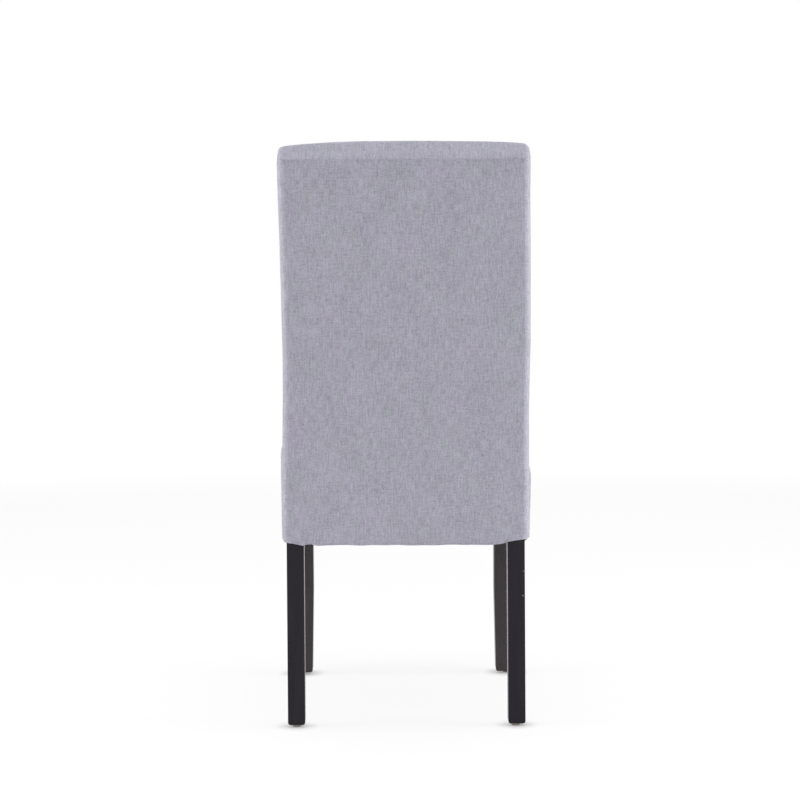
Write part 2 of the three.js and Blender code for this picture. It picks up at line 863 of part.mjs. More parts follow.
// The seat's outer form, drawn in by an inset on every side
function seatRing(height, pullIn, swell, inset) {
  const draw = inset + pullIn - swell;
  return ring({
    frontHalf: seatFrontHalf - draw,
    rearHalf: seatRearHalf - inset - pullIn,
    front: seatFront + draw,
    rear: seatRear - fit - inset - pullIn,
    frontRadius: Math.max(seatCorner - inset, fit) + pullIn * cornerGrowthShare,
    rearRadius: Math.max(tuckCorner - inset, fit) + pullIn * cornerGrowthShare,
    bow: seatFrontBow,
    heightAt: () => height,
  });
}

function seatRings(inset, bottom) {
  const rings = seatSkirtShares.map((share) => {
    const height = THREE.MathUtils.lerp(bottom, seatSideHeight, share);
    return seatRing(height, 0, seatBulge * share, inset);
  });
  for (let step = 1; step <= rollSteps; step += 1) {
    const angle = (Math.PI / 2) * step / rollSteps;
    const pullIn = seatRoll * (1 - Math.cos(angle) ** (2 / seatRollPower));
    const rise = seatRollRise * Math.sin(angle) ** (2 / seatRollPower);
    const height = seatSideHeight + rise - inset * step / rollSteps;
    rings.push(seatRing(height, pullIn, seatBulge, inset));
  }
  seatCrownShares.forEach((share) => {
    const height = seatSideHeight + seatRollRise + seatCrown * (1 - (1 - share) ** 2) - inset;
    rings.push(seatRing(height, seatRoll + (seatCrownReach - seatRoll) * share, seatBulge, inset));
  });
  return rings;
}

// The frame's plan, legs and side rails together, which the wadding fits round at the corners
function seatFrameRoom() {
  const halfPlan = [
    [frontLegOuter + fit, frontLegFront - fit],
    [frontLegOuter + fit, frontLegBack],
    [postOuter + fit, -postDepth],
  ];
  const outline = [...halfPlan, ...mirrored(halfPlan, -1).reverse()];
  return plate(outline, hemHeight - overrun, seatCutHeight);
}

// The wadding fills the space between frame and cover, and wraps the foam that lies on the deck
function addSeatPadding() {
  const foamInset = underCover + waddingThickness;
  const form = skin(seatRings(underCover, railBottom), null);
  const foamRoom = skin(seatRings(foamInset, deckTop), null);
  addPiece('seat_wadding', cut(form, [seatFrameRoom(), foamRoom]), wadding);
  addPiece('seat_foam', skin(seatRings(foamInset + fit, seatCutHeight), null), foam);
}

function addSeatCover() {
  const whole = skin(seatRings(0, hemHeight), seatRings(clothThickness, hemHeight));
  addPiece('seat_cover', cut(whole, [railRoom()]), cloth);
}

// Dust cover under the rails, notched round the four legs
function addDustCover() {
  const front = frontLegFront + railThickness - dustOverlap;
  const rear = rearRailFront + dustOverlap;
  const frontNotch = frontLegBack + fit;
  const rearNotch = -postDepth - fit;
  const edge = railThickness - dustOverlap;
  const halfPlan = [
    [frontLegInner - fit, front],
    [frontLegInner - fit, frontNotch],
    [sideRailX(frontNotch, edge), frontNotch],
    [sideRailX(rearNotch, edge), rearNotch],
    [postInner - fit, rearNotch],
    [postInner - fit, rear],
  ];
  const outline = [...halfPlan, ...mirrored(halfPlan, -1).reverse()];
  const top = railBottom - fit;
  addPiece('dust_cover', plate(outline, top - dustThickness, top), dustCloth);
}

// Assembly from the floor up
const sides = [{ label: 'left', side: 1 }, { label: 'right', side: -1 }];
sides.forEach(({ label, side }) => {
  addGlide(`front_${label}_glide`, side, false);
  addGlide(`rear_${label}_glide`, side, true);
  addFrontLeg(`front_${label}_leg`, side);
  addPost(`rear_${label}_post`, side);
  addSideRail(`${label}_seat_rail`, side);
  addCornerBlock(`front_${label}_corner_block`, side, false);
  addCornerBlock(`rear_${label}_corner_block`, side, true);
  addBlockScrews(`front_${label}_block`, side, false);
  addBlockScrews(`rear_${label}_block`, side, true);
  addLegBolt(`front_${label}_leg_bolt`, side);
});
addCrossRail('front_seat_rail', frontLegInner, frontLegFront, frontRailTenons(0), false);
addCrossRail('rear_seat_rail', postInner, rearRailFront, rearRailTenons(0), true);
backRails.forEach(addBackRail);
strapPlaceShares.forEach((share, index) => addLongStrap(index));
strapPlaceShares.forEach((share, index) => addCrossStrap(index));
addDeck();
backStrapShares.forEach(addBackStrap);
addBoard();
addSeatPadding();
addSeatCover();
addBackPadding();
const backCover = backSkin();
addInsideBackCover(backCover);
addOutsideBackCover(backCover);
addBackBoxing('left_back_boxing', 1, backCover);
addBackBoxing('right_back_boxing', -1, backCover);
addDustCover();

export default chair;
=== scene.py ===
"""A parsons dining chair in heathered linen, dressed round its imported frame.

Metres, +Z up, the sitter faces -Y and the sitter's left is +X. Every class holds the sizes of one
sub-assembly and builds its meshes, and every finish is a small class that builds one material.
"""
from __future__ import annotations

import json
import logging
import sys
from contextlib import contextmanager
from dataclasses import dataclass, field
from enum import Enum
from math import cos, pi, radians, sin, sqrt, tan
from typing import Callable, Iterator, Sequence

import bmesh
import bpy
import numpy as np
from mathutils import Matrix, Vector
from mathutils.bvhtree import BVHTree

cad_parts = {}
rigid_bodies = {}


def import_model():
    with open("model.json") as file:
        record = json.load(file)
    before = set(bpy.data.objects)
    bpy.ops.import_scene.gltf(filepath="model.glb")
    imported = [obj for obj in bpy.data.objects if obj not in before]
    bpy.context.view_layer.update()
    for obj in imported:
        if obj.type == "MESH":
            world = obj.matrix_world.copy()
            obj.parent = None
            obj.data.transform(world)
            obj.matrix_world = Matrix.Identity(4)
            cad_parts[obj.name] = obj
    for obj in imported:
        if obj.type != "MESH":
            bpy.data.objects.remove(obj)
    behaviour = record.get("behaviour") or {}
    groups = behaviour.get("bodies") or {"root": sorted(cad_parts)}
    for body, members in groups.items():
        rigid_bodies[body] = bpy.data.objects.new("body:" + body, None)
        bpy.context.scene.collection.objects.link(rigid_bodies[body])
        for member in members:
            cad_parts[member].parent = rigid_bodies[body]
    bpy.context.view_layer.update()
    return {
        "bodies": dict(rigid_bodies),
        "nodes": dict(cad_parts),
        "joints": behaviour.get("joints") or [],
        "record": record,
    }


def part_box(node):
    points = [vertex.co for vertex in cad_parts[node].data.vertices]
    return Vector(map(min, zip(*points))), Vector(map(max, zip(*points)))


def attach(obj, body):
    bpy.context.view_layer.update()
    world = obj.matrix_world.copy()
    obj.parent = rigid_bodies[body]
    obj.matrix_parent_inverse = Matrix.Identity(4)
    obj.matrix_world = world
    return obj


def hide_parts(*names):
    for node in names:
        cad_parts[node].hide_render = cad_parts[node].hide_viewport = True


Pair = tuple[float, float]
Triple = tuple[float, float, float]
Quad = tuple[float, float, float, float]
Table = tuple[Pair, ...]
SectionAt = Callable[[float], Quad]
Counts = tuple[int, int, int]
Layers = tuple[tuple[Triple, float, float, float], ...]
Array = np.ndarray
Material = bpy.types.Material
Mesh = bpy.types.Mesh
Object = bpy.types.Object

LOG = logging.getLogger("chair")
BODY = "root"
CLOTH_UV = "cloth"
QUARTER = pi / 2
TINY = 1e-9

# The folded hem's rows, as height above the hem and distance inwards
HEM_FOLD: Table = ((0.0050, 0.0052), (0.0024, 0.0050), (0.0008, 0.0040), (0.0, 0.0024), (0.0005, 0.0009),
                   (0.0022, 0.0))
# The rear seat rail's rear face lies this far ahead of the posts' rear faces
RAIL_SETBACK = 0.007
# The seat's form starts this far behind its solid's front, and swells out to it
SEAT_FRONT_SLACK = 0.0045


class Side(Enum):
    """The sitter's left and right, as the sign of X."""

    LEFT = 1
    RIGHT = -1

    @property
    def word(self) -> str:
        """The side's name in lower case."""
        return self.name.lower()


class Run(Enum):
    """The four stretches of the back's outline between its seams."""

    FRONT = "front"
    LEFT = "left"
    REAR = "rear"
    RIGHT = "right"


# Shader tools


class Sock:
    """A shader socket that takes part in arithmetic.

    Args:
        graph: The graph that new Math nodes go into.
        socket: The output socket that this stands for.
    """

    def __init__(self, graph: Graph, socket: bpy.types.NodeSocket) -> None:
        """Keeps the graph and the socket."""
        self.graph = graph
        self.socket = socket

    def _math(self, operation: str, *values: Sock | float) -> Sock:
        """A Math node over the values."""
        return self.graph.node("ShaderNodeMath", {"operation": operation}, dict(enumerate(values)))

    def __add__(self, other: Sock | float) -> Sock:
        """Sum."""
        return self._math("ADD", self, other)

    def __radd__(self, other: float) -> Sock:
        """Sum with a number on the left."""
        return self._math("ADD", other, self)

    def __sub__(self, other: Sock | float) -> Sock:
        """Difference."""
        return self._math("SUBTRACT", self, other)

    def __rsub__(self, other: float) -> Sock:
        """Difference with a number on the left."""
        return self._math("SUBTRACT", other, self)

    def __mul__(self, other: Sock | float) -> Sock:
        """Product."""
        return self._math("MULTIPLY", self, other)

    def __rmul__(self, other: float) -> Sock:
        """Product with a number on the left."""
        return self._math("MULTIPLY", other, self)

    def __truediv__(self, other: Sock | float) -> Sock:
        """Quotient."""
        return self._math("DIVIDE", self, other)

    def __pow__(self, other: Sock | float) -> Sock:
        """Power."""
        return self._math("POWER", self, other)

    def sine(self) -> Sock:
        """Sine of the value in radians."""
        return self._math("SINE", self)

    def absolute(self) -> Sock:
        """Absolute value."""
        return self._math("ABSOLUTE", self)

    def clamped(self) -> Sock:
        """The value held between 0 and 1."""
        return self.graph.node("ShaderNodeClamp", {}, {0: self})

    def step(self, low: float, high: float) -> Sock:
        """A smooth step from 0 at low to 1 at high."""
        return self.graph.node("ShaderNodeMapRange", {"interpolation_type": "SMOOTHSTEP"},
                               {"Value": self, "From Min": low, "From Max": high})


class Graph:
    """The node tree of a material or of the world, emptied and drawn anew.

    Args:
        holder: The material or world.
    """

    def __init__(self, holder: Material | bpy.types.World) -> None:
        """Empties the holder's node tree."""
        holder.use_nodes = True
        self.holder = holder
        self.tree = holder.node_tree
        self.tree.nodes.clear()

    @classmethod
    def named(cls, name: str) -> Graph:
        """The graph of a new material."""
        return cls(bpy.data.materials.new(name))

    def node(self, kind: str, settings: dict, inputs: dict, output: int | str | None = 0) -> Sock | None:
        """Adds a node.

        Args:
            kind: The node's type.
            settings: Properties to set first.
            inputs: Values or Socks by input name or number.
            output: The output to return, or None for a node without one.

        Returns:
            The chosen output as a Sock, or None.
        """
        made = self.tree.nodes.new(kind)
        for key, value in settings.items():
            setattr(made, key, value)
        for key, value in inputs.items():
            socket = made.inputs[key]
            if isinstance(value, Sock):
                self.tree.links.new(value.socket, socket)
            elif isinstance(value, tuple) and len(value) == 3 and socket.type == "RGBA":
                socket.default_value = (*value, 1.0)
            else:
                socket.default_value = value
        return None if output is None else Sock(self, made.outputs[output])

    def place(self) -> Sock:
        """Object coordinates."""
        return self.node("ShaderNodeTexCoord", {}, {}, "Object")

    def cloth_place(self) -> Sock:
        """The cloth's own metric coordinates."""
        return self.node("ShaderNodeUVMap", {"uv_map": CLOTH_UV}, {})

    def scaled(self, vector: Sock, scale: Triple) -> Sock:
        """A vector multiplied axis by axis."""
        return self.node("ShaderNodeVectorMath", {"operation": "MULTIPLY"}, {0: vector, 1: scale})

    def part(self, vector: Sock, axis: int) -> Sock:
        """One axis of a vector."""
        return self.node("ShaderNodeSeparateXYZ", {}, {0: vector}, axis)

    def noise(self, vector: Sock, scale: Triple, detail: float, rough: float) -> Sock:
        """A noise value between 0 and 1, with scale's cycles per metre on each axis."""
        return self.node("ShaderNodeTexNoise", {}, {"Vector": self.scaled(vector, scale), "Scale": 1.0,
                                                    "Detail": detail, "Roughness": rough})

    def blend(self, factor: Sock | float, a: Sock | Triple, b: Sock | Triple) -> Sock:
        """Two colours mixed by a factor."""
        return self.node("ShaderNodeMix", {"data_type": "RGBA"}, {0: factor, 6: a, 7: b}, 2)

    def glow(self, colour: Triple) -> Sock:
        """Light of one colour, at which 1 is white."""
        return self.node("ShaderNodeEmission", {}, {"Color": colour, "Strength": 1.0})

    def mixed(self, factor: Sock, first: Sock, second: Sock) -> Sock:
        """Two shaders mixed by a factor."""
        return self.node("ShaderNodeMixShader", {}, {0: factor, 1: first, 2: second})

    def bump(self, height: Sock, distance: float, strength: float) -> Sock:
        """A normal bent by a height in units of distance metres."""
        return self.node("ShaderNodeBump", {}, {"Strength": strength, "Distance": distance, "Height": height})

    def finish(self, **sockets: Sock | float | Triple) -> Material:
        """Ends the tree in a Principled shader.

        Args:
            sockets: Principled inputs by name, with underscores for spaces.

        Returns:
            The finished material.
        """
        inputs = {key.replace("_", " "): value for key, value in sockets.items()}
        shader = self.node("ShaderNodeBsdfPrincipled", {}, inputs)
        self.node("ShaderNodeOutputMaterial", {}, {"Surface": shader}, None)
        return self.holder


# Finishes


@dataclass(frozen=True)
class Linen:
    """Heathered linen-look upholstery cloth, grey with a lilac cast.

    Each layer is cycles per metre on three axes, octaves, roughness, and its weight in the slub.
    """

    name: str = "linen"
    deep_cool: Triple = (0.243, 0.250, 0.286)
    pale_cool: Triple = (0.440, 0.453, 0.514)
    deep_warm: Triple = (0.262, 0.246, 0.312)
    pale_warm: Triple = (0.478, 0.446, 0.557)
    yarn: float = 0.00085
    yarn_share: float = 0.35
    slub_share: float = 0.9
    layers: Layers = (
        ((370, 52, 1), 3.0, 0.62, 1.35), ((72, 400, 1), 3.0, 0.6, 0.85), ((440, 420, 1), 3.0, 0.75, 1.8),
        ((150, 9, 1), 2.0, 0.5, 0.16), ((20, 13, 1), 3.0, 0.6, 0.42))
    tints: Layers = (
        ((340, 120, 1), 3.0, 0.6, 1.5), ((46, 30, 1), 2.0, 0.5, 1.3), ((13, 9, 1), 2.0, 0.5, 1.0))
    fleck: Triple = (420, 150, 1)
    fleck_reach: Pair = (0.58, 0.70)
    fleck_weight: float = 0.24
    middle: float = 0.54
    tint_middle: float = 1.4
    relief: float = 0.0004

    def slub(self, g: Graph, uv: Sock) -> Sock:
        """The uneven thickness of the yarns.

        Args:
            g: The cloth's graph.
            uv: The cloth's coordinates.

        Returns:
            A value round 0.5, not clamped.
        """
        total = None
        for scale, detail, rough, weight in self.layers:
            layer = (g.noise(uv, scale, detail, rough) - 0.5) * weight
            total = layer if total is None else total + layer
        fleck = g.noise(uv, self.fleck, 1.0, 0.5).step(*self.fleck_reach)
        return total - fleck * self.fleck_weight + self.middle

    def tint(self, g: Graph, uv: Sock) -> Sock:
        """How warm the dye is from place to place.

        Args:
            g: The cloth's graph.
            uv: The cloth's coordinates.

        Returns:
            A value from 0, cool, to 1, warm.
        """
        total = None
        for scale, detail, rough, weight in self.tints:
            layer = g.noise(uv, scale, detail, rough) * weight
            total = layer if total is None else total + layer
        return (total - self.tint_middle).clamped()

    def build(self) -> Material:
        """Draws the cloth on its metric coordinates.

        Returns:
            The material.
        """
        g = Graph.named(self.name)
        uv = g.cloth_place()
        slub = self.slub(g, uv)
        cool = g.blend(slub.clamped(), self.deep_cool, self.pale_cool)
        warm = g.blend(slub.clamped(), self.deep_warm, self.pale_warm)
        turn = 2 * pi / self.yarn
        over = (g.part(uv, 0) * turn).sine() * (g.part(uv, 1) * turn).sine()
        height = over * self.yarn_share + slub * self.slub_share
        return g.finish(Base_Color=g.blend(self.tint(g, uv), cool, warm), Roughness=0.95,
                        Normal=g.bump(height, self.relief, 0.6), Sheen_Weight=0.2, Sheen_Roughness=0.5,
                        Specular_IOR_Level=0.15)


@dataclass(frozen=True)
class BlackLacquer:
    """Satin black lacquer over close-grained hardwood, with a few small nicks.

    Each nick is its x, its z, its reach and the colour that it bares.
    """

    name: str = "black_lacquer"
    colour: Triple = (0.0085, 0.0068, 0.0115)
    rubbed: Triple = (0.019, 0.016, 0.018)
    nicks: tuple[tuple[float, float, float, Triple], ...] = (
        (-0.2008, 0.2250, 0.0020, (0.36, 0.20, 0.13)), (-0.2024, 0.2670, 0.0014, (0.34, 0.32, 0.31)),
        (-0.2028, 0.2590, 0.0010, (0.20, 0.16, 0.15)))
    nick_flatness: float = 0.35
    rubbed_share: float = 0.35
    relief: float = 0.00025

    def nick(self, g: Graph, at: Sock, x: float, z: float, reach: float) -> Sock:
        """1 inside a small flat mark on the outer edge of a rear leg, else 0."""
        across, up = (g.part(at, 0) - x) / reach, (g.part(at, 2) - z) / (reach * self.nick_flatness)
        return 1.0 - (across * across + up * up).step(0.5, 1.2)

    def build(self) -> Material:
        """Draws the lacquer on object coordinates.

        Returns:
            The material.
        """
        g = Graph.named(self.name)
        at = g.place()
        grain = g.noise(at, (900, 900, 14), 3.0, 0.6)
        cloud = g.noise(at, (60, 60, 9), 2.0, 0.5)
        colour = g.blend(cloud.step(0.4, 0.8) * self.rubbed_share, self.colour, self.rubbed)
        for x, z, reach, bared in self.nicks:
            colour = g.blend(self.nick(g, at, x, z, reach), colour, bared)
        return g.finish(Base_Color=colour, Roughness=cloud * 0.14 + 0.20,
                        Normal=g.bump(grain, self.relief, 0.35), Specular_IOR_Level=0.22)


@dataclass(frozen=True)
class RawWood:
    """Unfinished sawn hardwood, with its grain along one axis."""

    name: str
    pale: Triple = (0.62, 0.44, 0.25)
    deep: Triple = (0.42, 0.27, 0.13)
    along: int = 0
    across_grain: float = 160.0
    along_grain: float = 5.0
    pore_factor: float = 5.0
    relief: float = 0.0004

    def build(self) -> Material:
        """Draws the wood on object coordinates.

        Returns:
            The material.
        """
        g = Graph.named(self.name)
        at = g.place()
        scale = [self.along_grain if axis == self.along else self.across_grain for axis in range(3)]
        rings = g.noise(at, tuple(scale), 3.0, 0.6)
        pores = g.noise(at, tuple(v * self.pore_factor for v in scale), 2.0, 0.7)
        colour = g.blend((rings * 0.75 + pores * 0.25).step(0.3, 0.72), self.deep, self.pale)
        return g.finish(Base_Color=colour, Roughness=pores * 0.2 + 0.65,
                        Normal=g.bump(pores, self.relief, 0.5))


@dataclass(frozen=True)
class Board:
    """Thin brown hardboard, flecked with its fibres."""

    name: str = "hardboard"
    deep: Triple = (0.20, 0.125, 0.065)
    pale: Triple = (0.34, 0.225, 0.125)
    fibre: Triple = (700, 700, 700)
    relief: float = 0.0003

    def build(self) -> Material:
        """Draws the board on object coordinates.

        Returns:
            The material.
        """
        g = Graph.named(self.name)
        fibre = g.noise(g.place(), self.fibre, 3.0, 0.7)
        colour = g.blend(fibre.step(0.35, 0.7), self.deep, self.pale)
        return g.finish(Base_Color=colour, Roughness=0.8, Normal=g.bump(fibre, self.relief, 0.5))


@dataclass(frozen=True)
class Foam:
    """Open-cell cushion foam."""

    name: str = "foam"
    deep: Triple = (0.66, 0.57, 0.36)
    pale: Triple = (0.86, 0.79, 0.58)
    cells: float = 900.0
    relief: float = 0.0006

    def build(self) -> Material:
        """Draws the foam on object coordinates.

        Returns:
            The material.
        """
        g = Graph.named(self.name)
        cells = g.node("ShaderNodeTexVoronoi", {}, {"Vector": g.place(), "Scale": self.cells}, "Distance")
        colour = g.blend(cells.step(0.1, 0.6), self.deep, self.pale)
        return g.finish(Base_Color=colour, Roughness=0.95, Normal=g.bump(cells, self.relief, 0.6))


@dataclass(frozen=True)
class Wadding:
    """White polyester wadding, loose and fluffy."""

    name: str = "wadding"
    deep: Triple = (0.78, 0.78, 0.75)
    pale: Triple = (0.90, 0.90, 0.88)
    fluff: Triple = (260, 260, 260)
    relief: float = 0.0015

    def build(self) -> Material:
        """Draws the wadding on object coordinates.

        Returns:
            The material.
        """
        g = Graph.named(self.name)
        fluff = g.noise(g.place(), self.fluff, 4.0, 0.65)
        colour = g.blend(fluff.step(0.3, 0.7), self.deep, self.pale)
        return g.finish(Base_Color=colour, Roughness=1.0, Normal=g.bump(fluff, self.relief, 0.7),
                        Sheen_Weight=0.3, Sheen_Roughness=0.6)


@dataclass(frozen=True)
class Woven:
    """Plain woven webbing or hessian, with painted shade between its yarns, which lie a pitch apart along two
    axes.
    """

    name: str
    # dark is the colour of the painted shade between the yarns
    dark: Triple
    light: Triple
    pitch: float
    axes: tuple[int, int] = (0, 1)
    fuzz: Triple = (1500, 1500, 1500)
    fuzz_share: float = 0.2
    relief: float = 0.0004

    def build(self) -> Material:
        """Draws the weave on object coordinates.

        Returns:
            The material.
        """
        g = Graph.named(self.name)
        at = g.place()
        turn = pi / self.pitch
        one, two = ((g.part(at, axis) * turn).sine() for axis in self.axes)
        fuzz = g.noise(at, self.fuzz, 2.0, 0.6)
        height = (one * two).absolute() * (1 - self.fuzz_share) + fuzz * self.fuzz_share
        # The low places between the yarns take the dark colour: painted shade in the weave's hollows
        colour = g.blend(height.step(0.1, 0.8), self.dark, self.light)
        return g.finish(Base_Color=colour, Roughness=0.92, Normal=g.bump(height, self.relief, 0.7))


@dataclass(frozen=True)
class NonWoven:
    """Black spun-bonded dust cloth with its dimpled bond marks."""

    name: str = "dust_cloth"
    deep: Triple = (0.009, 0.009, 0.010)
    pale: Triple = (0.022, 0.022, 0.024)
    mark_pitch: float = 0.0016
    fibre: Triple = (420, 420, 420)
    relief: float = 0.0002

    def build(self) -> Material:
        """Draws the dust cloth on object coordinates.

        Returns:
            The material.
        """
        g = Graph.named(self.name)
        at = g.place()
        turn = pi / self.mark_pitch
        marks = ((g.part(at, 0) * turn).sine() * (g.part(at, 1) * turn).sine()).absolute()
        fibre = g.noise(at, self.fibre, 3.0, 0.6)
        colour = g.blend(fibre.step(0.35, 0.7), self.deep, self.pale)
        return g.finish(Base_Color=colour, Roughness=0.85,
                        Normal=g.bump(marks * 0.7 + fibre * 0.3, self.relief, 0.6))


@dataclass(frozen=True)
class Steel:
    """Plated or bare steel, with wear as the share that is dull, and rough for the clean metal."""

    name: str
    bright: Triple
    dull: Triple
    rough: float
    wear: float
    blots: Triple = (420, 420, 420)
    brushing: Triple = (1800, 1800, 240)
    relief: float = 0.00012

    def build(self) -> Material:
        """Draws the steel on object coordinates.

        Returns:
            The material.
        """
        g = Graph.named(self.name)
        at = g.place()
        spots = g.noise(at, self.blots, 3.0, 0.6).step(0.62 - 0.4 * self.wear, 0.8 - 0.2 * self.wear)
        brushed = g.noise(at, self.brushing, 2.0, 0.6)
        return g.finish(Base_Color=g.blend(spots, self.bright, self.dull), Metallic=1.0 - spots * 0.35,
                        Roughness=spots * 0.3 + self.rough, Normal=g.bump(brushed, self.relief, 0.4))


@dataclass(frozen=True)
class Thread:
    """Spun sewing thread."""

    name: str = "thread"
    colour: Triple = (0.36, 0.355, 0.42)
    shade: float = 0.7
    twist: Triple = (2600, 2600, 2600)
    relief: float = 0.0001

    def build(self) -> Material:
        """Draws the thread on object coordinates.

        Returns:
            The material.
        """
        g = Graph.named(self.name)
        twist = g.noise(g.place(), self.twist, 2.0, 0.6)
        dark = tuple(v * self.shade for v in self.colour)
        return g.finish(Base_Color=g.blend(twist, dark, self.colour), Roughness=0.7,
                        Normal=g.bump(twist, self.relief, 0.5))


# Mesh tools


def mesh_object(name: str, mesh: Mesh, material: Material | None) -> Object:
    """Puts a mesh into the scene as a smooth-shaded object.

    Args:
        name: The piece's name.
        mesh: The mesh, in the row frame.
        material: Its material, or None where the mesh has its own.

    Returns:
        The new object at the origin.
    """
    if material is not None:
        mesh.materials.clear()
        mesh.materials.append(material)
    mesh.shade_smooth()
    made = bpy.data.objects.new(name, mesh)
    bpy.context.scene.collection.objects.link(made)
    return made


def mesh_of(points: Array, faces: Sequence[Sequence[int]], uv: Array | None = None) -> Mesh:
    """A mesh from points and faces, with the cloth's coordinates where they are given.

    Args:
        points: One row of X, Y and Z for each point.
        faces: The point numbers of each face, counter-clockwise from outside.
        uv: One row of metric coordinates for each point, or None.

    Returns:
        The mesh.
    """
    mesh = bpy.data.meshes.new("made")
    mesh.from_pydata(points.tolist(), [], [tuple(f) for f in faces])
    if uv is not None:
        layer = mesh.uv_layers.new(name=CLOTH_UV)
        loops = np.zeros(len(mesh.loops), np.int32)
        mesh.loops.foreach_get("vertex_index", loops)
        layer.data.foreach_set("uv", uv[loops].astype(np.float32).ravel())
    mesh.update()
    return mesh


@contextmanager
def opened(mesh: Mesh) -> Iterator[bmesh.types.BMesh]:
    """Opens a mesh for editing and writes it back at the end.

    Args:
        mesh: The mesh.

    Yields:
        The mesh's geometry, to be edited.
    """
    work = bmesh.new()
    work.from_mesh(mesh)
    yield work
    work.to_mesh(mesh)
    work.free()


def weld(work: bmesh.types.BMesh, distance: float) -> None:
    """Merges the points that lie within a distance of each other."""
    bmesh.ops.remove_doubles(work, verts=work.verts, dist=distance)


def read_points(mesh: Mesh) -> Array:
    """The points of a mesh.

    Args:
        mesh: The mesh.

    Returns:
        One row of X, Y and Z for each point.
    """
    flat = np.zeros(len(mesh.vertices) * 3)
    mesh.vertices.foreach_get("co", flat)
    return flat.reshape(-1, 3)


def grid_faces(rows: int, cols: int, closed: bool = False, start: int = 0) -> list[tuple]:
    """Quads over a grid of points in row order.

    Args:
        rows: How many rows.
        cols: How many points in a row.
        closed: Whether each row closes on itself.
        start: The first point's number.

    Returns:
        The four point numbers of each quad.
    """
    faces = []
    for r in range(rows - 1):
        for c in range(cols if closed else cols - 1):
            a, b = start + r * cols + c, start + r * cols + (c + 1) % cols
            faces.append((a, b, b + cols, a + cols))
    return faces


def tube_ends(rows: int, cols: int) -> list[tuple]:
    """The two faces that close a grid of rings."""
    return [tuple(reversed(range(cols))), tuple(range((rows - 1) * cols, rows * cols))]


def raised(flat: Array, z: float | Array) -> Array:
    """Level points with their height, or heights, as a third column."""
    return np.column_stack([flat, np.broadcast_to(z, len(flat))])


def rounded(cx: float, cy: float, radius: float, start: float, steps: int, lack: float = 0.0) -> Array:
    """Points round a level corner, counter-clockwise, for a quarter turn less an angle that it may lack."""
    turn = start + np.linspace(0, QUARTER, steps + 1) * (1 - lack / QUARTER)
    return np.stack([cx + radius * np.cos(turn), cy + radius * np.sin(turn)], 1)


def running_length(points: Array) -> Array:
    """Length along a line of points, from 0 at its start."""
    return np.concatenate([[0.0], np.cumsum(np.linalg.norm(np.diff(points, axis=0), axis=1))])


def points_at(at: Array, length: Array, points: Array) -> Array:
    """The X and Y of a level line at some running lengths."""
    return np.stack([np.interp(at, length, points[:, 0]), np.interp(at, length, points[:, 1])], 1)


def share_between(value: float, low: float, high: float) -> float:
    """Where a value lies from low, 0, to high, 1, and no further."""
    return min(max((value - low) / (high - low), 0.0), 1.0)


def graded(length: float, step: float, fine: Sequence[float],
           ends: tuple[bool, bool] = (True, True)) -> Array:
    """Shares from 0 to 1 along a length, close together near its ends.

    Args:
        length: The length in metres.
        step: The usual spacing.
        fine: Distances from an end at which points lie close.
        ends: Whether the start and the end are fine.

    Returns:
        The shares in order.
    """
    low = list(fine) if ends[0] else [0.0]
    high = list(fine) if ends[1] else [0.0]
    inner = length - low[-1] - high[-1]
    count = max(2, round(inner / step) + 1)
    middle = np.linspace(low[-1], length - high[-1], count)
    return np.array(low[:-1] + list(middle) + [length - v for v in reversed(high[:-1])]) / length


def grid_normals(points: Array) -> Array:
    """Unit normals of a grid of points, rows going up and columns to the left as seen from outside.

    Args:
        points: The grid's points.

    Returns:
        One normal for each point.
    """
    normal = np.cross(np.gradient(points, axis=1), np.gradient(points, axis=0))
    size = np.linalg.norm(normal, axis=2, keepdims=True)
    return normal / np.maximum(size, 1e-12)


def level_normals(points: Array) -> Array:
    """Unit normals of a grid of points with their rise left out."""
    normal = grid_normals(points) * np.array([1.0, 1.0, 0.0])
    return normal / np.maximum(np.linalg.norm(normal, axis=2, keepdims=True), TINY)


def arc_lengths(points: Array, axis: int) -> Array:
    """Running length over a grid of points.

    Args:
        points: The grid's points.
        axis: 0 to measure up the rows, 1 to measure along them.

    Returns:
        One length for each point.
    """
    steps = np.linalg.norm(np.diff(points, axis=axis), axis=2)
    pad = [(0, 0), (0, 0)]
    pad[axis] = (1, 0)
    return np.cumsum(np.pad(steps, pad), axis=axis)


def seam_dip(distance: Array, depth: float, width: float) -> Array:
    """How deep a seam pulls the cloth in at a distance from it."""
    return depth * np.exp(-((distance / width) ** 1.5))


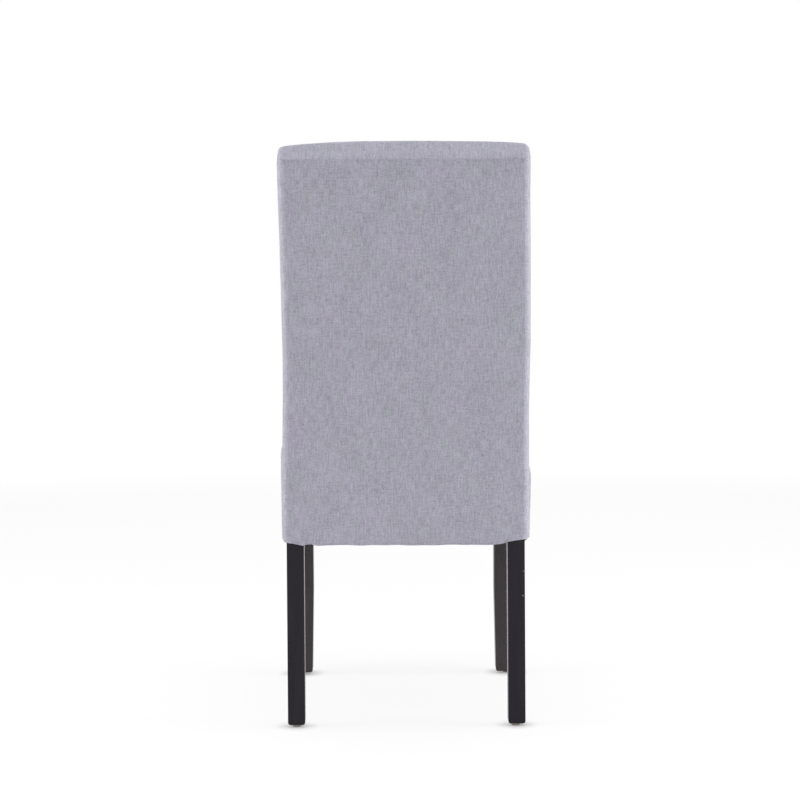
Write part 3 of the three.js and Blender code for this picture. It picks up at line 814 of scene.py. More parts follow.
@dataclass(frozen=True)
class Puff:
    """A short cloth simulation that puffs a cover over its padding.

    Args:
        pressure: The padding's push.
        cap: The furthest that a point may move, in metres.
        slack: The share by which the cloth is larger than its form.
    """

    pressure: float
    cap: float
    slack: float
    frames: int = 20
    fabric: tuple[tuple[str, float], ...] = (
        ("quality", 6), ("mass", 0.25), ("tension_stiffness", 20), ("compression_stiffness", 20),
        ("shear_stiffness", 8), ("bending_stiffness", 0.4), ("air_damping", 4))

    def start(self, piece: Object) -> bpy.types.Modifier:
        """Puts the cloth modifier on a piece.

        Args:
            piece: The piece, with its held points in the vertex group "held".

        Returns:
            The modifier.
        """
        modifier = piece.modifiers.new("padding", "CLOTH")
        cloth = modifier.settings
        for key, value in self.fabric:
            setattr(cloth, key, value)
        cloth.vertex_group_mass = "held"
        cloth.use_pressure = True
        cloth.uniform_pressure_force = self.pressure
        cloth.shrink_min = -self.slack
        cloth.effector_weights.gravity = 0
        modifier.collision_settings.use_collision = False
        modifier.point_cache.frame_start, modifier.point_cache.frame_end = 1, self.frames
        return modifier

    def settle(self, piece: Object, held: Array) -> None:
        """Runs the simulation and writes its result into the piece's mesh.

        Args:
            piece: The piece, with no thickness yet.
            held: How firmly each point is held in place, from 0 to 1.
        """
        group = piece.vertex_groups.new(name="held")
        for index, weight in enumerate(held):
            group.add([index], float(weight), "REPLACE")
        modifier = self.start(piece)
        scene = bpy.context.scene
        for frame in range(1, self.frames + 1):
            scene.frame_set(frame)
        evaluated = piece.evaluated_get(bpy.context.evaluated_depsgraph_get())
        before, after = read_points(piece.data), read_points(evaluated.data)
        move = after - before
        size = np.linalg.norm(move, axis=1, keepdims=True)
        move *= np.minimum(1.0, self.cap / np.maximum(size, TINY)) * (1 - held[:, None])
        piece.modifiers.remove(modifier)
        piece.vertex_groups.remove(group)
        piece.data.vertices.foreach_set("co", (before + move).ravel())
        piece.data.update()
        scene.frame_set(1)
        LOG.info("%s settled: mean %.1f mm, most %.1f mm", piece.name, size.mean() * 1000, size.max() * 1000)


def thicken(piece: Object, thickness: float) -> None:
    """Gives a cloth piece its thickness on the inner side.

    Args:
        piece: The piece.
        thickness: The cloth's thickness in metres.
    """
    solid = piece.modifiers.new("thickness", "SOLIDIFY")
    solid.thickness = thickness
    solid.offset = -1.0
    solid.use_even_offset = False


def dress(piece: Object, slot: str, *nodes: str) -> Object:
    """Makes a finished piece ride on the chair, in place of some CAD nodes.

    Args:
        piece: The finished piece.
        slot: The record's material slot. Not used.
        nodes: The CAD nodes that it stands for.

    Returns:
        The piece.
    """
    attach(piece, BODY)
    if nodes:
        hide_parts(*nodes)
    LOG.info("%s: %d faces", piece.name, len(piece.data.polygons))
    return piece


# The back's form


@dataclass(frozen=True)
class BackForm:
    """The outer form of the raked back, as the stretched cover shows it.

    Each table of halves, drops and rises goes by height or by x, in metres.
    """

    post_rear: float
    hem: float = 0.313
    crease: float = 0.968
    top: float = 1.000
    rake_start: float = 0.430
    rake_blend: float = 0.070
    rake_slope: float = tan(radians(7.5))
    post_top: float = 0.962
    post_depth: Pair = (0.040, 0.028)
    pad_depth: Pair = (0.042, 0.034)
    rear_stack: float = 0.0095
    seat_top: float = 0.418
    seam_kinks: Pair = (radians(30), radians(40))
    kink_fade: float = 4.0
    front_radius: Pair = (0.004, 0.020)
    front_radius_growth: float = 0.06
    least_radius: float = 5e-4
    corner_share: float = 0.94
    front_top_radius: float = 0.026
    top_radii: Pair = (0.006, 0.010)
    hem_radii: Pair = (0.010, 0.012)
    hem_rounds: Pair = (0.0065, 0.0090)
    rear_top_radius: float = 0.0035
    bevel: float = 0.030
    narrowing: float = 0.0025
    crown: float = 0.007
    seam_inset: float = 0.010
    corner_steps: int = 16
    span_points: int = 40
    left_halves: Table = (
        (0.313, 0.2109), (0.36, 0.2113), (0.43, 0.2108), (0.50, 0.2086), (0.564, 0.2067), (0.633, 0.2059),
        (0.735, 0.2066), (0.836, 0.2086), (0.936, 0.2105), (1.0, 0.2108))
    right_halves: Table = (
        (0.313, 0.2130), (0.36, 0.2136), (0.43, 0.2127), (0.51, 0.2125), (0.562, 0.2129), (0.664, 0.2146),
        (0.783, 0.2135), (0.90, 0.2122), (1.0, 0.2126))
    top_drops: Table = (
        (-0.213, 0.0075), (-0.203, 0.0056), (-0.183, 0.0040), (-0.163, 0.0030), (-0.143, 0.0022),
        (-0.045, 0.0006), (0.0, 0.0004), (0.077, 0.0006), (0.117, 0.0018), (0.147, 0.0036), (0.167, 0.0048),
        (0.187, 0.0066), (0.197, 0.0078), (0.206, 0.0098), (0.213, 0.0120))
    hem_rises: Table = (
        (-0.213, 0.0055), (-0.206, 0.0080), (-0.200, 0.0086), (-0.190, 0.0078), (-0.174, 0.0052),
        (-0.166, 0.0018), (-0.12, 0.0004), (-0.06, 0.0012), (0.0, 0.0004), (0.06, 0.0013), (0.12, 0.0018),
        (0.148, 0.0002), (0.156, 0.0018), (0.161, 0.0038), (0.166, 0.0040), (0.171, 0.0026), (0.176, 0.0010),
        (0.183, 0.0028), (0.193, 0.0048), (0.205, 0.0058), (0.213, 0.0064))
    hem_fade: Table = ((0.014, 1.0), (0.040, 0.2))
    hem_waves: tuple[Triple, ...] = ((0.0005, 61.0, 0.6), (0.0003, 143.0, 0.0))

    def lean(self, z: float) -> float:
        """How far the back has leaned at a height.

        Args:
            z: The height.

        Returns:
            The lean in metres, rearwards.
        """
        rise = z - self.rake_start
        if rise <= 0:
            return 0.0
        if rise < self.rake_blend:
            return self.rake_slope * rise * rise / (2 * self.rake_blend)
        return self.rake_slope * (rise - self.rake_blend / 2)

    def front(self, z: float) -> float:
        """The y of the inside back at a height.

        Args:
            z: The height.

        Returns:
            The y.
        """
        share = share_between(z, self.rake_start, self.post_top)
        depth = sum(low + (high - low) * share for low, high in (self.post_depth, self.pad_depth))
        return self.post_rear + self.lean(z) - depth

    def rear(self, z: float) -> float:
        """The y of the outside back at a height."""
        return self.post_rear + self.lean(z) + self.rear_stack

    def above(self, z: float) -> float:
        """How far up the top band a height is, from 0 to 1."""
        return share_between(z, self.crease, self.top)

    @staticmethod
    def draw_in(z: float, top: float, radius: float) -> float:
        """How far a rounded edge has drawn in at a height, for an arc that ends at the top."""
        over = z - (top - radius)
        return 0.0 if over <= 0 else radius - sqrt(max(radius * radius - over * over, 0.0))

    def half(self, z: float, side: Side) -> float:
        """The half-width on one side at a height.

        Args:
            z: The height.
            side: The side.

        Returns:
            The distance from the middle to the cloth.
        """
        which = 0 if side is Side.LEFT else 1
        table = np.array((self.left_halves, self.right_halves)[which])
        radius, rounding = self.hem_radii[which], self.hem_rounds[which]
        under = max(self.hem + rounding - z, 0.0)
        tucked = radius - sqrt(max(radius * radius - under * under, 0.0))
        wide = float(np.interp(z, table[:, 0], table[:, 1])) - tucked
        return wide - self.narrowing * self.above(z) - self.draw_in(z, self.top, self.top_radii[which])

    def bowed(self, a: float, b: float, y: float, wide: float, swell: float) -> Array:
        """Points from x a to x b, bowed forward by swell in the middle and level with y at wide."""
        x = np.linspace(a, b, self.span_points)
        return np.stack([x, y - swell * (1 - np.minimum(np.abs(x) / max(wide, 1e-6), 1.0) ** 2)], 1)

    def outline(self, z: float, inset: float = 0.0) -> tuple[Array, list[float], Array]:
        """The level outline of the back at a height.

        Args:
            z: The height.
            inset: How far inside the form the outline lies.

        Returns:
            The closed outline's points from the middle of the front towards +X, the four seams' places along
            it, and the running length at each point.
        """
        left, right = self.half(z, Side.LEFT) - inset, self.half(z, Side.RIGHT) - inset
        front = self.front(z) + inset + self.draw_in(z, self.top, self.front_top_radius)
        rear = self.rear(z) - inset - self.bevel * self.above(z)
        rear -= self.draw_in(z, self.top, self.rear_top_radius)
        grown = min(max((z - self.seat_top) / self.front_radius_growth, 0.0), 1.0)
        low, high = self.front_radius
        tight = max(low + (high - low) * grown - inset, self.least_radius)
        kinks = np.array(self.seam_kinks) * (1 - min(self.above(z) * self.kink_fade, 1.0))
        rear_radii = np.maximum(self.seam_inset / (1 - np.sin(kinks)) - inset, self.least_radius)
        fit = min(1.0, self.corner_share * (rear - front) / (tight + rear_radii.max()))
        tight, rear_radii = tight * fit, rear_radii * fit
        reach, deep = rear_radii * (1 - np.sin(kinks)), rear_radii * np.cos(kinks)
        bow = self.crown * sin(pi * share_between(z, self.seat_top, self.top))
        steps = self.corner_steps
        parts = [
            self.bowed(0.0, left - tight, front, left - tight, bow),
            rounded(left - tight, front + tight, tight, -QUARTER, steps),
            rounded(left - rear_radii[0], rear - deep[0], rear_radii[0], 0.0, steps, kinks[0]),
            self.bowed(left - reach[0], -right + reach[1], rear, left, 0.0),
            rounded(-right + rear_radii[1], rear - deep[1], rear_radii[1], QUARTER + kinks[1], steps,
                    kinks[1]),
            rounded(-right + tight, front + tight, tight, pi, steps),
            self.bowed(-right + tight, 0.0, front, right - tight, bow),
        ]
        points = np.concatenate(parts)
        length = running_length(points)
        ends = np.cumsum([len(p) for p in parts])
        rear_middle = ends[2] + self.span_points // 2
        seam_left, seam_right = left + inset - self.seam_inset, -right - inset + self.seam_inset
        seams = [self.length_at(points, length, *place) for place in (
            (0, ends[1], seam_left), (ends[1], rear_middle, seam_left), (rear_middle, ends[4], seam_right),
            (ends[4], ends[6], seam_right))]
        return points, seams, length

    @staticmethod
    def length_at(points: Array, length: Array, start: int, stop: int, x: float) -> float:
        """The running length at which a stretch of the outline has a certain x.

        Args:
            points: The outline's points.
            length: The running length at each.
            start: The stretch's first point.
            stop: The point after its last.
            x: The x to find.

        Returns:
            The running length.
        """
        xs = points[start:stop, 0]
        order = np.argsort(xs)
        return float(np.interp(x, xs[order], length[start:stop][order]))

    def run(self, which: Run, z: float, shares: Array, inset: float = 0.0) -> Array:
        """Points along one stretch of the outline.

        Args:
            which: The stretch between two seams.
            z: The height of the section.
            shares: Places along the stretch, from 0 to 1.
            inset: How far inside the form the points lie.

        Returns:
            One row of X and Y for each share.
        """
        points, seams, length = self.outline(z, inset)
        whole = length[-1]
        spans = {Run.FRONT: (seams[3], whole + seams[0]), Run.LEFT: (seams[0], seams[1]),
                 Run.REAR: (seams[1], seams[2]), Run.RIGHT: (seams[2], seams[3])}
        start, stop = spans[which]
        return points_at(np.mod(start + (stop - start) * shares, whole), length, points)

    def top_drop(self, x: Array, z: float) -> Array:
        """How far the top's arch has dropped at each x of a section."""
        table = np.array(self.top_drops)
        return np.interp(x, table[:, 0], table[:, 1]) * self.above(z)

    def hem_rise(self, flat: Array) -> Array:
        """How far the hem lies above its middle height, with a hand-pulled edge's slight waves.

        Args:
            flat: The X and Y of some points on the hem.

        Returns:
            One rise for each point. Ahead of the rear it fades.
        """
        table, fade = np.array(self.hem_rises), np.array(self.hem_fade)
        x, ahead = flat[:, 0], self.rear(self.hem) - flat[:, 1]
        wave = sum(size * np.sin(x * turns + start) for size, turns, start in self.hem_waves)
        return np.interp(x, table[:, 0], table[:, 1]) * np.interp(ahead, fade[:, 0], fade[:, 1]) + wave


@dataclass
class BackCover:
    """The sewn cover of the back: rear panel, two side strips, and the inside cover that wraps over the top.

    A ripple is its size, its turns per metre along X and Z, and its start.
    """

    form: BackForm
    cloth: Material
    thickness: float = 0.0016
    seam_depth: float = 0.0014
    seam_width: float = 0.0030
    side_share: float = 0.35
    spacing: float = 0.007
    strip_spacing: float = 0.004
    panel_width: float = 0.405
    strip_width: float = 0.105
    top_side: float = 0.0425
    top_side_spacing: float = 0.0045
    inside_bottom: float = 0.399
    crease_fade: float = 0.006
    swell_fade: float = 0.03
    swell_top_fade: float = 0.05
    swell_depth: float = 0.012
    hem_fade_power: int = 6
    wrap_turning: float = 0.016
    merge: float = 0.0004
    cap_rows: int = 9
    stitch_column: int = 3
    stitch_proud: float = 0.0001
    puff: Puff = Puff(pressure=2.2, cap=0.006, slack=0.006)
    fine: tuple[float, ...] = (0.0, 0.0008, 0.0018, 0.003, 0.0046, 0.007, 0.0105)
    wrap_levels: tuple[float, ...] = (
        0.0, 0.0008, 0.0018, 0.003, 0.0046, 0.007, 0.010, 0.0135, 0.017, 0.0205, 0.0235, 0.026, 0.028, 0.0295,
        0.0306, 0.0314, 0.0319, 0.032)
    ripples: tuple[Quad, ...] = (
        (0.00025, 37, 11, 0.4), (0.00015, 71, -19, 0.0), (0.0002, 5, 9, 0.0))
    ripple_beat: Pair = (23, 1.3)
    seams: list[Array] = field(default_factory=list)
    pieces: list[Object] = field(default_factory=list)

    def dip(self, distance: Array) -> Array:
        """How deep the cloth is pulled in at a distance from a seam."""
        return seam_dip(distance, self.seam_depth, self.seam_width)

    def ripple(self, points: Array) -> Array:
        """The slight waves of stretched cloth over wadding.

        Args:
            points: A grid of points.

        Returns:
            One height along the normal for each point.
        """
        x, z = points[..., 0], points[..., 2]
        first, second, third = (size * np.sin(x * across + z * up + start)
                                for size, across, up, start in self.ripples)
        turns, start = self.ripple_beat
        return first * np.sin(z * turns + start) + second + third

    @staticmethod
    def across_and_edge(points: Array) -> tuple[Array, Array]:
        """The distance along each row of a panel, and to the nearer of its two side seams."""
        across = arc_lengths(points, 1)
        return across, np.minimum(across, across[:, -1:] - across)

    @staticmethod
    def panel_uv(points: Array, across: Array) -> Array:
        """A panel's metric coordinates, from the middle of each row and up from the first."""
        return np.stack([across - across[:, -1:] / 2, arc_lengths(points, 0)], 2)

    def stitch_lines(self, points: Array, rows: slice) -> None:
        """Adds lines for the stitches beside a panel's two side seams, on some of its rows."""
        proud = points + grid_normals(points) * self.stitch_proud
        self.seams += [proud[rows, self.stitch_column], proud[rows, -1 - self.stitch_column]]

    def panel(self, name: str, which: Run) -> Object:
        """One panel from the hem to the crease.

        Args:
            name: The piece's name.
            which: The stretch of the outline that it covers.

        Returns:
            The panel, with its cloth's thickness as a modifier.
        """
        form, is_rear = self.form, which is Run.REAR
        shares = graded(self.panel_width if is_rear else self.strip_width,
                        self.spacing if is_rear else self.strip_spacing, self.fine)
        height = form.crease - form.hem
        rows, heights = [], []
        for rise, inward in HEM_FOLD:
            flat = form.run(which, form.hem, shares, inward)
            rows.append(raised(flat, form.hem + rise + form.hem_rise(flat)))
            heights.append(rise)
        for up in graded(height, self.spacing, self.fine, (False, True))[1:]:
            z = form.hem + height * up
            flat = form.run(which, z, shares)
            rows.append(raised(flat, z + form.hem_rise(flat) * (1 - up) ** self.hem_fade_power))
            heights.append(height * up)
        points = np.array(rows)
        across, edge = self.across_and_edge(points)
        below = np.maximum(height - np.array(heights), 0.0)[:, None] + 0 * edge
        dip = np.maximum(self.dip(edge), self.dip(below) * (1.0 if is_rear else self.side_share))
        waves = grid_normals(points) * self.ripple(points)[:, :, None]
        points = points + waves - level_normals(points) * dip[:, :, None]
        uv = self.panel_uv(points, across)
        mesh = mesh_of(points.reshape(-1, 3), grid_faces(*points.shape[:2]), uv.reshape(-1, 2))
        piece = mesh_object(name, mesh, self.cloth)
        thicken(piece, self.thickness)
        if is_rear:
            self.stitch_lines(points, slice(len(HEM_FOLD), -2))
            proud = points + grid_normals(points) * self.stitch_proud
            self.seams.append(proud[-1 - self.stitch_column, 2:-2])
        return piece

    def inside_panel(self, shares: Array) -> tuple[Array, Array]:
        """The inside panel's grid, from its lower edge to the crease's height.

        Args:
            shares: Places along each row, from 0 to 1.

        Returns:
            The points and their metric coordinates.
        """
        form = self.form
        height = form.crease - self.inside_bottom
        rows = []
        for up in graded(height, self.spacing, (0.0, 0.004), (False, True)):
            z = self.inside_bottom + height * up
            rows.append(raised(form.run(Run.FRONT, z, shares), z))
        points = np.array(rows)
        across, edge = self.across_and_edge(points)
        fade = np.clip((form.crease - points[..., 2]) / self.crease_fade, 0, 1)
        dip = self.dip(edge) * fade
        points = points + grid_normals(points) * (self.ripple(points) * fade)[:, :, None]
        points = points - level_normals(points) * dip[:, :, None]
        return points, self.panel_uv(points, across)

    def wrap_rings(self, front: Array, side: Array) -> Array:
        """The closed rings of the wrap over the top, from the crease's height up.

        Args:
            front: Places along the front and the rear, from 0 to 1.
            side: Places along each side.

        Returns:
            The rings' points.
        """
        form = self.form
        stretches = ((Run.FRONT, front), (Run.LEFT, side), (Run.REAR, front), (Run.RIGHT, side))
        rings = []
        for level in self.wrap_levels:
            z = form.crease + level
            flat = np.concatenate([form.run(which, z, shares)[:-1] for which, shares in stretches])
            rings.append(raised(flat, z - form.top_drop(flat[:, 0], z)))
        rings = np.array(rings)
        normals = level_normals(np.concatenate([rings, rings[:, :1]], 1))[:, :-1]
        nf, ns = len(front), len(side)
        seam = np.full(rings.shape[1], self.side_share)
        seam[2:nf - 3] = 0.0
        seam[nf + ns - 2:2 * nf + ns - 2] = 1.0
        dips = self.dip(np.array(self.wrap_levels))[:, None] * seam[None, :]
        return rings - normals * dips[:, :, None]

    def inside(self) -> Object:
        """The inside cover: the front panel and the wrap over the top, as one cloth.

        Returns:
            The cover, puffed over its foam, with its cloth's thickness as a modifier.
        """
        front = graded(self.panel_width, self.spacing, self.fine)
        half_side = graded(self.top_side, self.top_side_spacing, (0.0, 0.002), (True, False))
        side = np.concatenate([half_side, 2 - half_side[-2::-1]]) / 2
        nf, ns = len(front) - 1, len(side) - 1
        lower, lower_uv = self.inside_panel(front)
        rings = self.wrap_rings(front, side)
        ring_uv = self.wrap_uv(rings, float(lower_uv[-1, 0, 1]), nf, ns)
        cap = self.close_top(rings[-1], nf, ns)
        cap_uv = np.stack([cap[..., 0], cap[..., 1] - cap[0, (nf + ns) // 2, 1] + ring_uv[-1, nf // 2, 1]], 2)
        points = np.concatenate([grid.reshape(-1, 3) for grid in (lower, rings, cap)])
        uv = np.concatenate([grid.reshape(-1, 2) for grid in (lower_uv, ring_uv, cap_uv)])
        faces, first = [], 0
        for grid in (lower, rings, cap):
            faces += grid_faces(*grid.shape[:2], closed=grid is rings, start=first)
            first += grid.shape[0] * grid.shape[1]
        mesh = mesh_of(points, faces, uv)
        with opened(mesh) as work:
            weld(work, self.merge)
        piece = mesh_object("inside_back_cloth", mesh, self.cloth)
        self.inflate(piece)
        thicken(piece, self.thickness)
        self.stitch_lines(lower, slice(4, -2))
        return piece

    def inflate(self, piece: Object) -> None:
        """Lets the inside panel swell over its foam between its seams.

        Args:
            piece: The inside cover.
        """
        form, at = self.form, read_points(piece.data)
        x, y, z = at.T
        free_x = np.clip((form.half(0.7, Side.LEFT) - form.seam_inset - np.abs(x)) / self.swell_fade, 0, 1)
        free_z = np.clip((z - self.inside_bottom) / self.swell_fade, 0, 1)
        free_z = free_z * np.clip((form.crease - z) / self.swell_top_fade, 0, 1)
        in_front = y < np.array([form.front(height) for height in z]) + self.swell_depth
        self.puff.settle(piece, 1 - free_x * free_z * in_front)

    def wrap_uv(self, rings: Array, base: float, nf: int, ns: int) -> Array:
        """Metric coordinates for the wrap: across the chair, and up the front or over the rear.

        Args:
            rings: The rings' points.
            base: The coordinate at which the inside panel ends.
            nf: Steps along the front.
            ns: Steps along a side.

        Returns:
            One row of coordinates for each point.
        """
        up = arc_lengths(rings, 0)
        u, v = rings[..., 0].copy(), base + up
        rear = slice(nf + ns, 2 * nf + ns)
        v[:, rear] = base + 2 * float(up[-1, nf // 2]) + self.wrap_turning - up[:, rear]
        for start in (nf, 2 * nf + ns):
            cut = slice(start, start + ns)
            u[:, cut] = rings[:, cut, 1]
            v[:, cut] = rings[:, cut, 2]
        return np.stack([u, v], 2)

    def close_top(self, ring: Array, nf: int, ns: int) -> Array:
        """A grid of rungs over the last ring, from its front half to its rear half and out to both ends.

        Args:
            ring: The last ring's points.
            nf: Steps along the front.
            ns: Steps along a side.

        Returns:
            The grid's points.
        """
        turned = np.roll(ring, ns // 2, axis=0)
        front = turned[:nf + ns + 1]
        rear = np.concatenate([turned[nf + ns:], turned[:1]])[::-1]
        t = np.linspace(0, 1, self.cap_rows)[:, None, None]
        return (1 - t) * front[None] + t * rear[None]

    def build(self) -> None:
        """Makes the four cloth pieces of the back."""
        rear = dress(self.panel("outside_back_cloth", Run.REAR), "upholstery_cloth", "outside_back_cover")
        self.pieces.append(rear)
        for side, run in ((Side.LEFT, Run.LEFT), (Side.RIGHT, Run.RIGHT)):
            strip = self.panel(f"{side.word}_boxing_cloth", run)
            dress(strip, "upholstery_cloth", f"{side.word}_back_boxing")
            self.pieces.append(strip)
        inside = dress(self.inside(), "upholstery_cloth", "inside_back_cover")
        self.pieces.append(inside)


# The seat's form


@dataclass(frozen=True)
class SeatForm:
    """The outer form of the crowned seat."""

    front: float
    rear: float
    hem: float = 0.313
    side_top: float = 0.418
    front_half: float = 0.2310
    rear_half_left: float = 0.2136
    rear_half_right: float = 0.2190
    right_taper: float = 0.0016
    corner_rise: float = 0.0035
    corner_reach: float = 0.060
    roll: float = 0.030
    roll_rise: float = 0.036
    crown: float = 0.013
    crown_reach: float = 0.150
    roll_power: float = 2.4
    corner: float = 0.020
    tuck: float = 0.005
    corner_growth: float = 0.15
    corner_steps: int = 12
    bow: float = 0.003
    bow_points: int = 30
    bulge: float = 0.0015

    def lift(self, flat: Array, z: float) -> Array:
        """How far the skirt's rear corners are pulled up.

        Args:
            flat: The X and Y of a ring's points.
            z: The ring's height.

        Returns:
            One rise for each point.
        """
        near = np.clip((flat[:, 1] - (self.rear - self.corner_reach)) / self.corner_reach, 0, 1) ** 2
        fade = max(1 - (z - self.hem) / (self.side_top - self.hem), 0.0) ** 4
        return self.corner_rise * near * fade * (np.abs(flat[:, 0]) > self.rear_half_left - self.roll)

    def bowed(self, a: float, b: float, y: float, wide: float) -> Array:
        """Points along the bowed front, from one x to another."""
        x = np.linspace(a, b, self.bow_points)
        return np.stack([x, y - self.bow * (1 - (np.abs(x) / wide) ** 2)], 1)

    def ring(self, z: float, pull: float, swell: float, counts: Counts) -> Array:
        """One level ring, from the middle of the front towards +X.

        Args:
            z: The ring's height.
            pull: How far the ring is drawn in from the form's sides.
            swell: How far the sides bulge out.
            counts: Points on half the front, on a side, and on the rear.

        Returns:
            One row of X and Y for each point of the closed ring.
        """
        half = self.front_half - pull + swell
        left = self.rear_half_left - pull + swell
        lower = share_between(z, self.side_top, self.hem)
        right = self.rear_half_right - pull + swell - self.right_taper * lower
        y0, y1 = self.front + pull - swell, self.rear - pull
        rf, rb = self.corner + pull * self.corner_growth, self.tuck + pull * self.corner_growth
        steps = self.corner_steps
        parts = [self.bowed(0.0, half - rf, y0, half - rf), rounded(half - rf, y0 + rf, rf, -QUARTER, steps),
                 rounded(left - rb, y1 - rb, rb, 0.0, steps),
                 rounded(-right + rb, y1 - rb, rb, QUARTER, steps),
                 rounded(-half + rf, y0 + rf, rf, pi, steps), self.bowed(-half + rf, 0.0, y0, half - rf)]
        points = np.concatenate(parts)
        length = running_length(points)
        ends = [0, *np.cumsum([len(p) for p in parts])]
        turns = [(length[ends[k]] + length[ends[k + 1] - 1]) / 2 for k in range(1, 5)]
        turns[0] = (length[ends[1] - 1] + length[ends[2] - 1]) / 2
        stops = [0.0, *turns, length[-1]]
        front, side, rear = counts
        at = np.concatenate([np.linspace(a, b, n, endpoint=False) for a, b, n in
                             zip(stops[:-1], stops[1:], (front, side, rear, side, front))])
        return points_at(at, length, points)


@dataclass
class SeatCover:
    """The seat's cloth, one boxed skin from the hem over the crowned foam."""

    form: SeatForm
    cloth: Material
    thickness: float = 0.0016
    counts: Counts = (34, 60, 68)
    skirt_rows: int = 13
    roll_rows: int = 10
    crown_rows: int = 18
    seam_depth: float = 0.0022
    seam_width: float = 0.0042
    seam_fade: float = 0.02
    cut_height: float = 0.395
    cut_inset: float = 0.0095
    cut_depth: float = 0.008
    merge: float = 0.0004
    stitch_rows: tuple[int, int] = (6, 24)
    stitch_aside: Pair = (0.0016, -0.0001)
    swell_start: float = 0.02
    swell_fade: float = 0.04
    rear_fade: float = 0.03
    puff: Puff = Puff(pressure=3.0, cap=0.007, slack=0.008)
    seams: list[Array] = field(default_factory=list)
    pieces: list[Object] = field(default_factory=list)

    def levels(self) -> list[Quad]:
        """The rings of the skirt's fold, the skirt, the roll and the crown, from the hem up.

        Returns:
            The height, pull, swell and inward lip of each ring.
        """
        form = self.form
        rows = [(form.hem + rise, 0.0, 0.0, inward) for rise, inward in HEM_FOLD]
        for share in np.linspace(0, 1, self.skirt_rows + 1)[1:]:
            z = form.hem + (form.side_top - form.hem) * share
            rows.append((z, 0.0, form.bulge * sin(share * QUARTER), 0.0))
        for step in range(1, self.roll_rows + 1):
            turn = QUARTER * step / self.roll_rows
            pull = form.roll * (1 - cos(turn) ** (2 / form.roll_power))
            rise = form.roll_rise * sin(turn) ** (2 / form.roll_power)
            rows.append((form.side_top + rise, pull, form.bulge, 0.0))
        for share in np.linspace(0, 1, self.crown_rows + 1)[1:]:
            z = form.side_top + form.roll_rise + form.crown * (1 - (1 - share) ** 2)
            rows.append((z, form.roll + (form.crown_reach - form.roll) * share, form.bulge, 0.0))
        return rows

    def close_crown(self, ring: Array) -> Array:
        """A grid over the last ring, blended from its four sides.

        Args:
            ring: The last ring's points.

        Returns:
            The grid's points.
        """
        half, side, rear = self.counts
        wide = 2 * half
        ring = np.roll(ring, half, axis=0)
        s = np.linspace(0, 1, wide + 1)[None, :, None]
        t = np.linspace(0, 1, side + 1)[:, None, None]
        near, left = ring[:wide + 1], ring[wide:wide + side + 1]
        far = ring[wide + side:wide + side + rear + 1][::-1]
        right = np.concatenate([ring[wide + side + rear:], ring[:1]])[::-1]
        edges = (1 - t) * near[None] + t * far[None] + (1 - s) * right[:, None] + s * left[:, None]
        return edges - ((1 - s) * (1 - t) * near[0] + s * (1 - t) * near[-1]
                        + (1 - s) * t * far[0] + s * t * far[-1])

    def mesh(self) -> Mesh:
        """The skin's mesh with its metric cloth coordinates.

        Returns:
            The mesh, open under the hem and behind the back.
        """
        rows = []
        for z, pull, swell, lip in self.levels():
            flat = self.form.ring(z, pull + lip, swell, self.counts)
            rows.append(raised(flat, z + self.form.lift(flat, z)))
        half, side, rear = self.counts
        rings = self.sew_corners(np.array(rows), (half, half + 2 * side + rear))
        cap = self.close_crown(rings[-1])
        faces = grid_faces(*rings.shape[:2], closed=True)
        faces += grid_faces(*cap.shape[:2], start=rings.shape[0] * rings.shape[1])
        mesh = mesh_of(np.concatenate([rings.reshape(-1, 3), cap.reshape(-1, 3)]), faces)
        with opened(mesh) as work:
            weld(work, self.merge)
            hidden = [f for f in work.faces if self.is_hidden(f.calc_center_median())]
            bmesh.ops.delete(work, geom=hidden, context="FACES")
        self.lay_cloth(mesh)
        return mesh

    def is_hidden(self, spot: Vector) -> bool:
        """Whether a place is on the rear skirt inside the back, where the cover is cut away."""
        form = self.form
        half = form.rear_half_left if spot.x > 0 else form.rear_half_right - form.right_taper
        is_inside = spot.z < self.cut_height and abs(spot.x) < half - self.cut_inset
        return is_inside and spot.y > form.rear - self.cut_depth

    def sew_corners(self, rings: Array, columns: tuple[int, int]) -> Array:
        """Pulls the cloth in along the two upright seams at the front corners.

        Args:
            rings: The rings' points.
            columns: The seams' places in each ring.

        Returns:
            The rings with the seams' grooves.
        """
        form, made = self.form, rings.copy()
        fade = np.clip((form.side_top + form.roll_rise - rings[:, 0, 2]) / self.seam_fade, 0, 1)[:, None]
        aside, ahead = self.stitch_aside
        for column, sign in zip(columns, (1, -1)):
            away = np.linalg.norm(rings[..., :2] - rings[:, column:column + 1, :2], axis=2)
            dip = seam_dip(away, self.seam_depth, self.seam_width) * fade
            made[..., 0] -= sign * dip * sqrt(0.5)
            made[..., 1] += dip * sqrt(0.5)
            self.seams.append(made[slice(*self.stitch_rows), column] + np.array([sign * aside, ahead, 0.0]))
        return made

    def inflate(self, piece: Object) -> None:
        """Lets the seat's top swell over its foam, with the skirt held to the rails.

        Args:
            piece: The seat's cloth.
        """
        form, at = self.form, read_points(piece.data)
        above = np.clip((at[:, 2] - form.side_top + self.swell_start) / self.swell_fade, 0, 1)
        clear = np.clip((form.rear - self.cut_depth - at[:, 1]) / self.rear_fade, 0, 1)
        self.puff.settle(piece, 1 - above * clear)

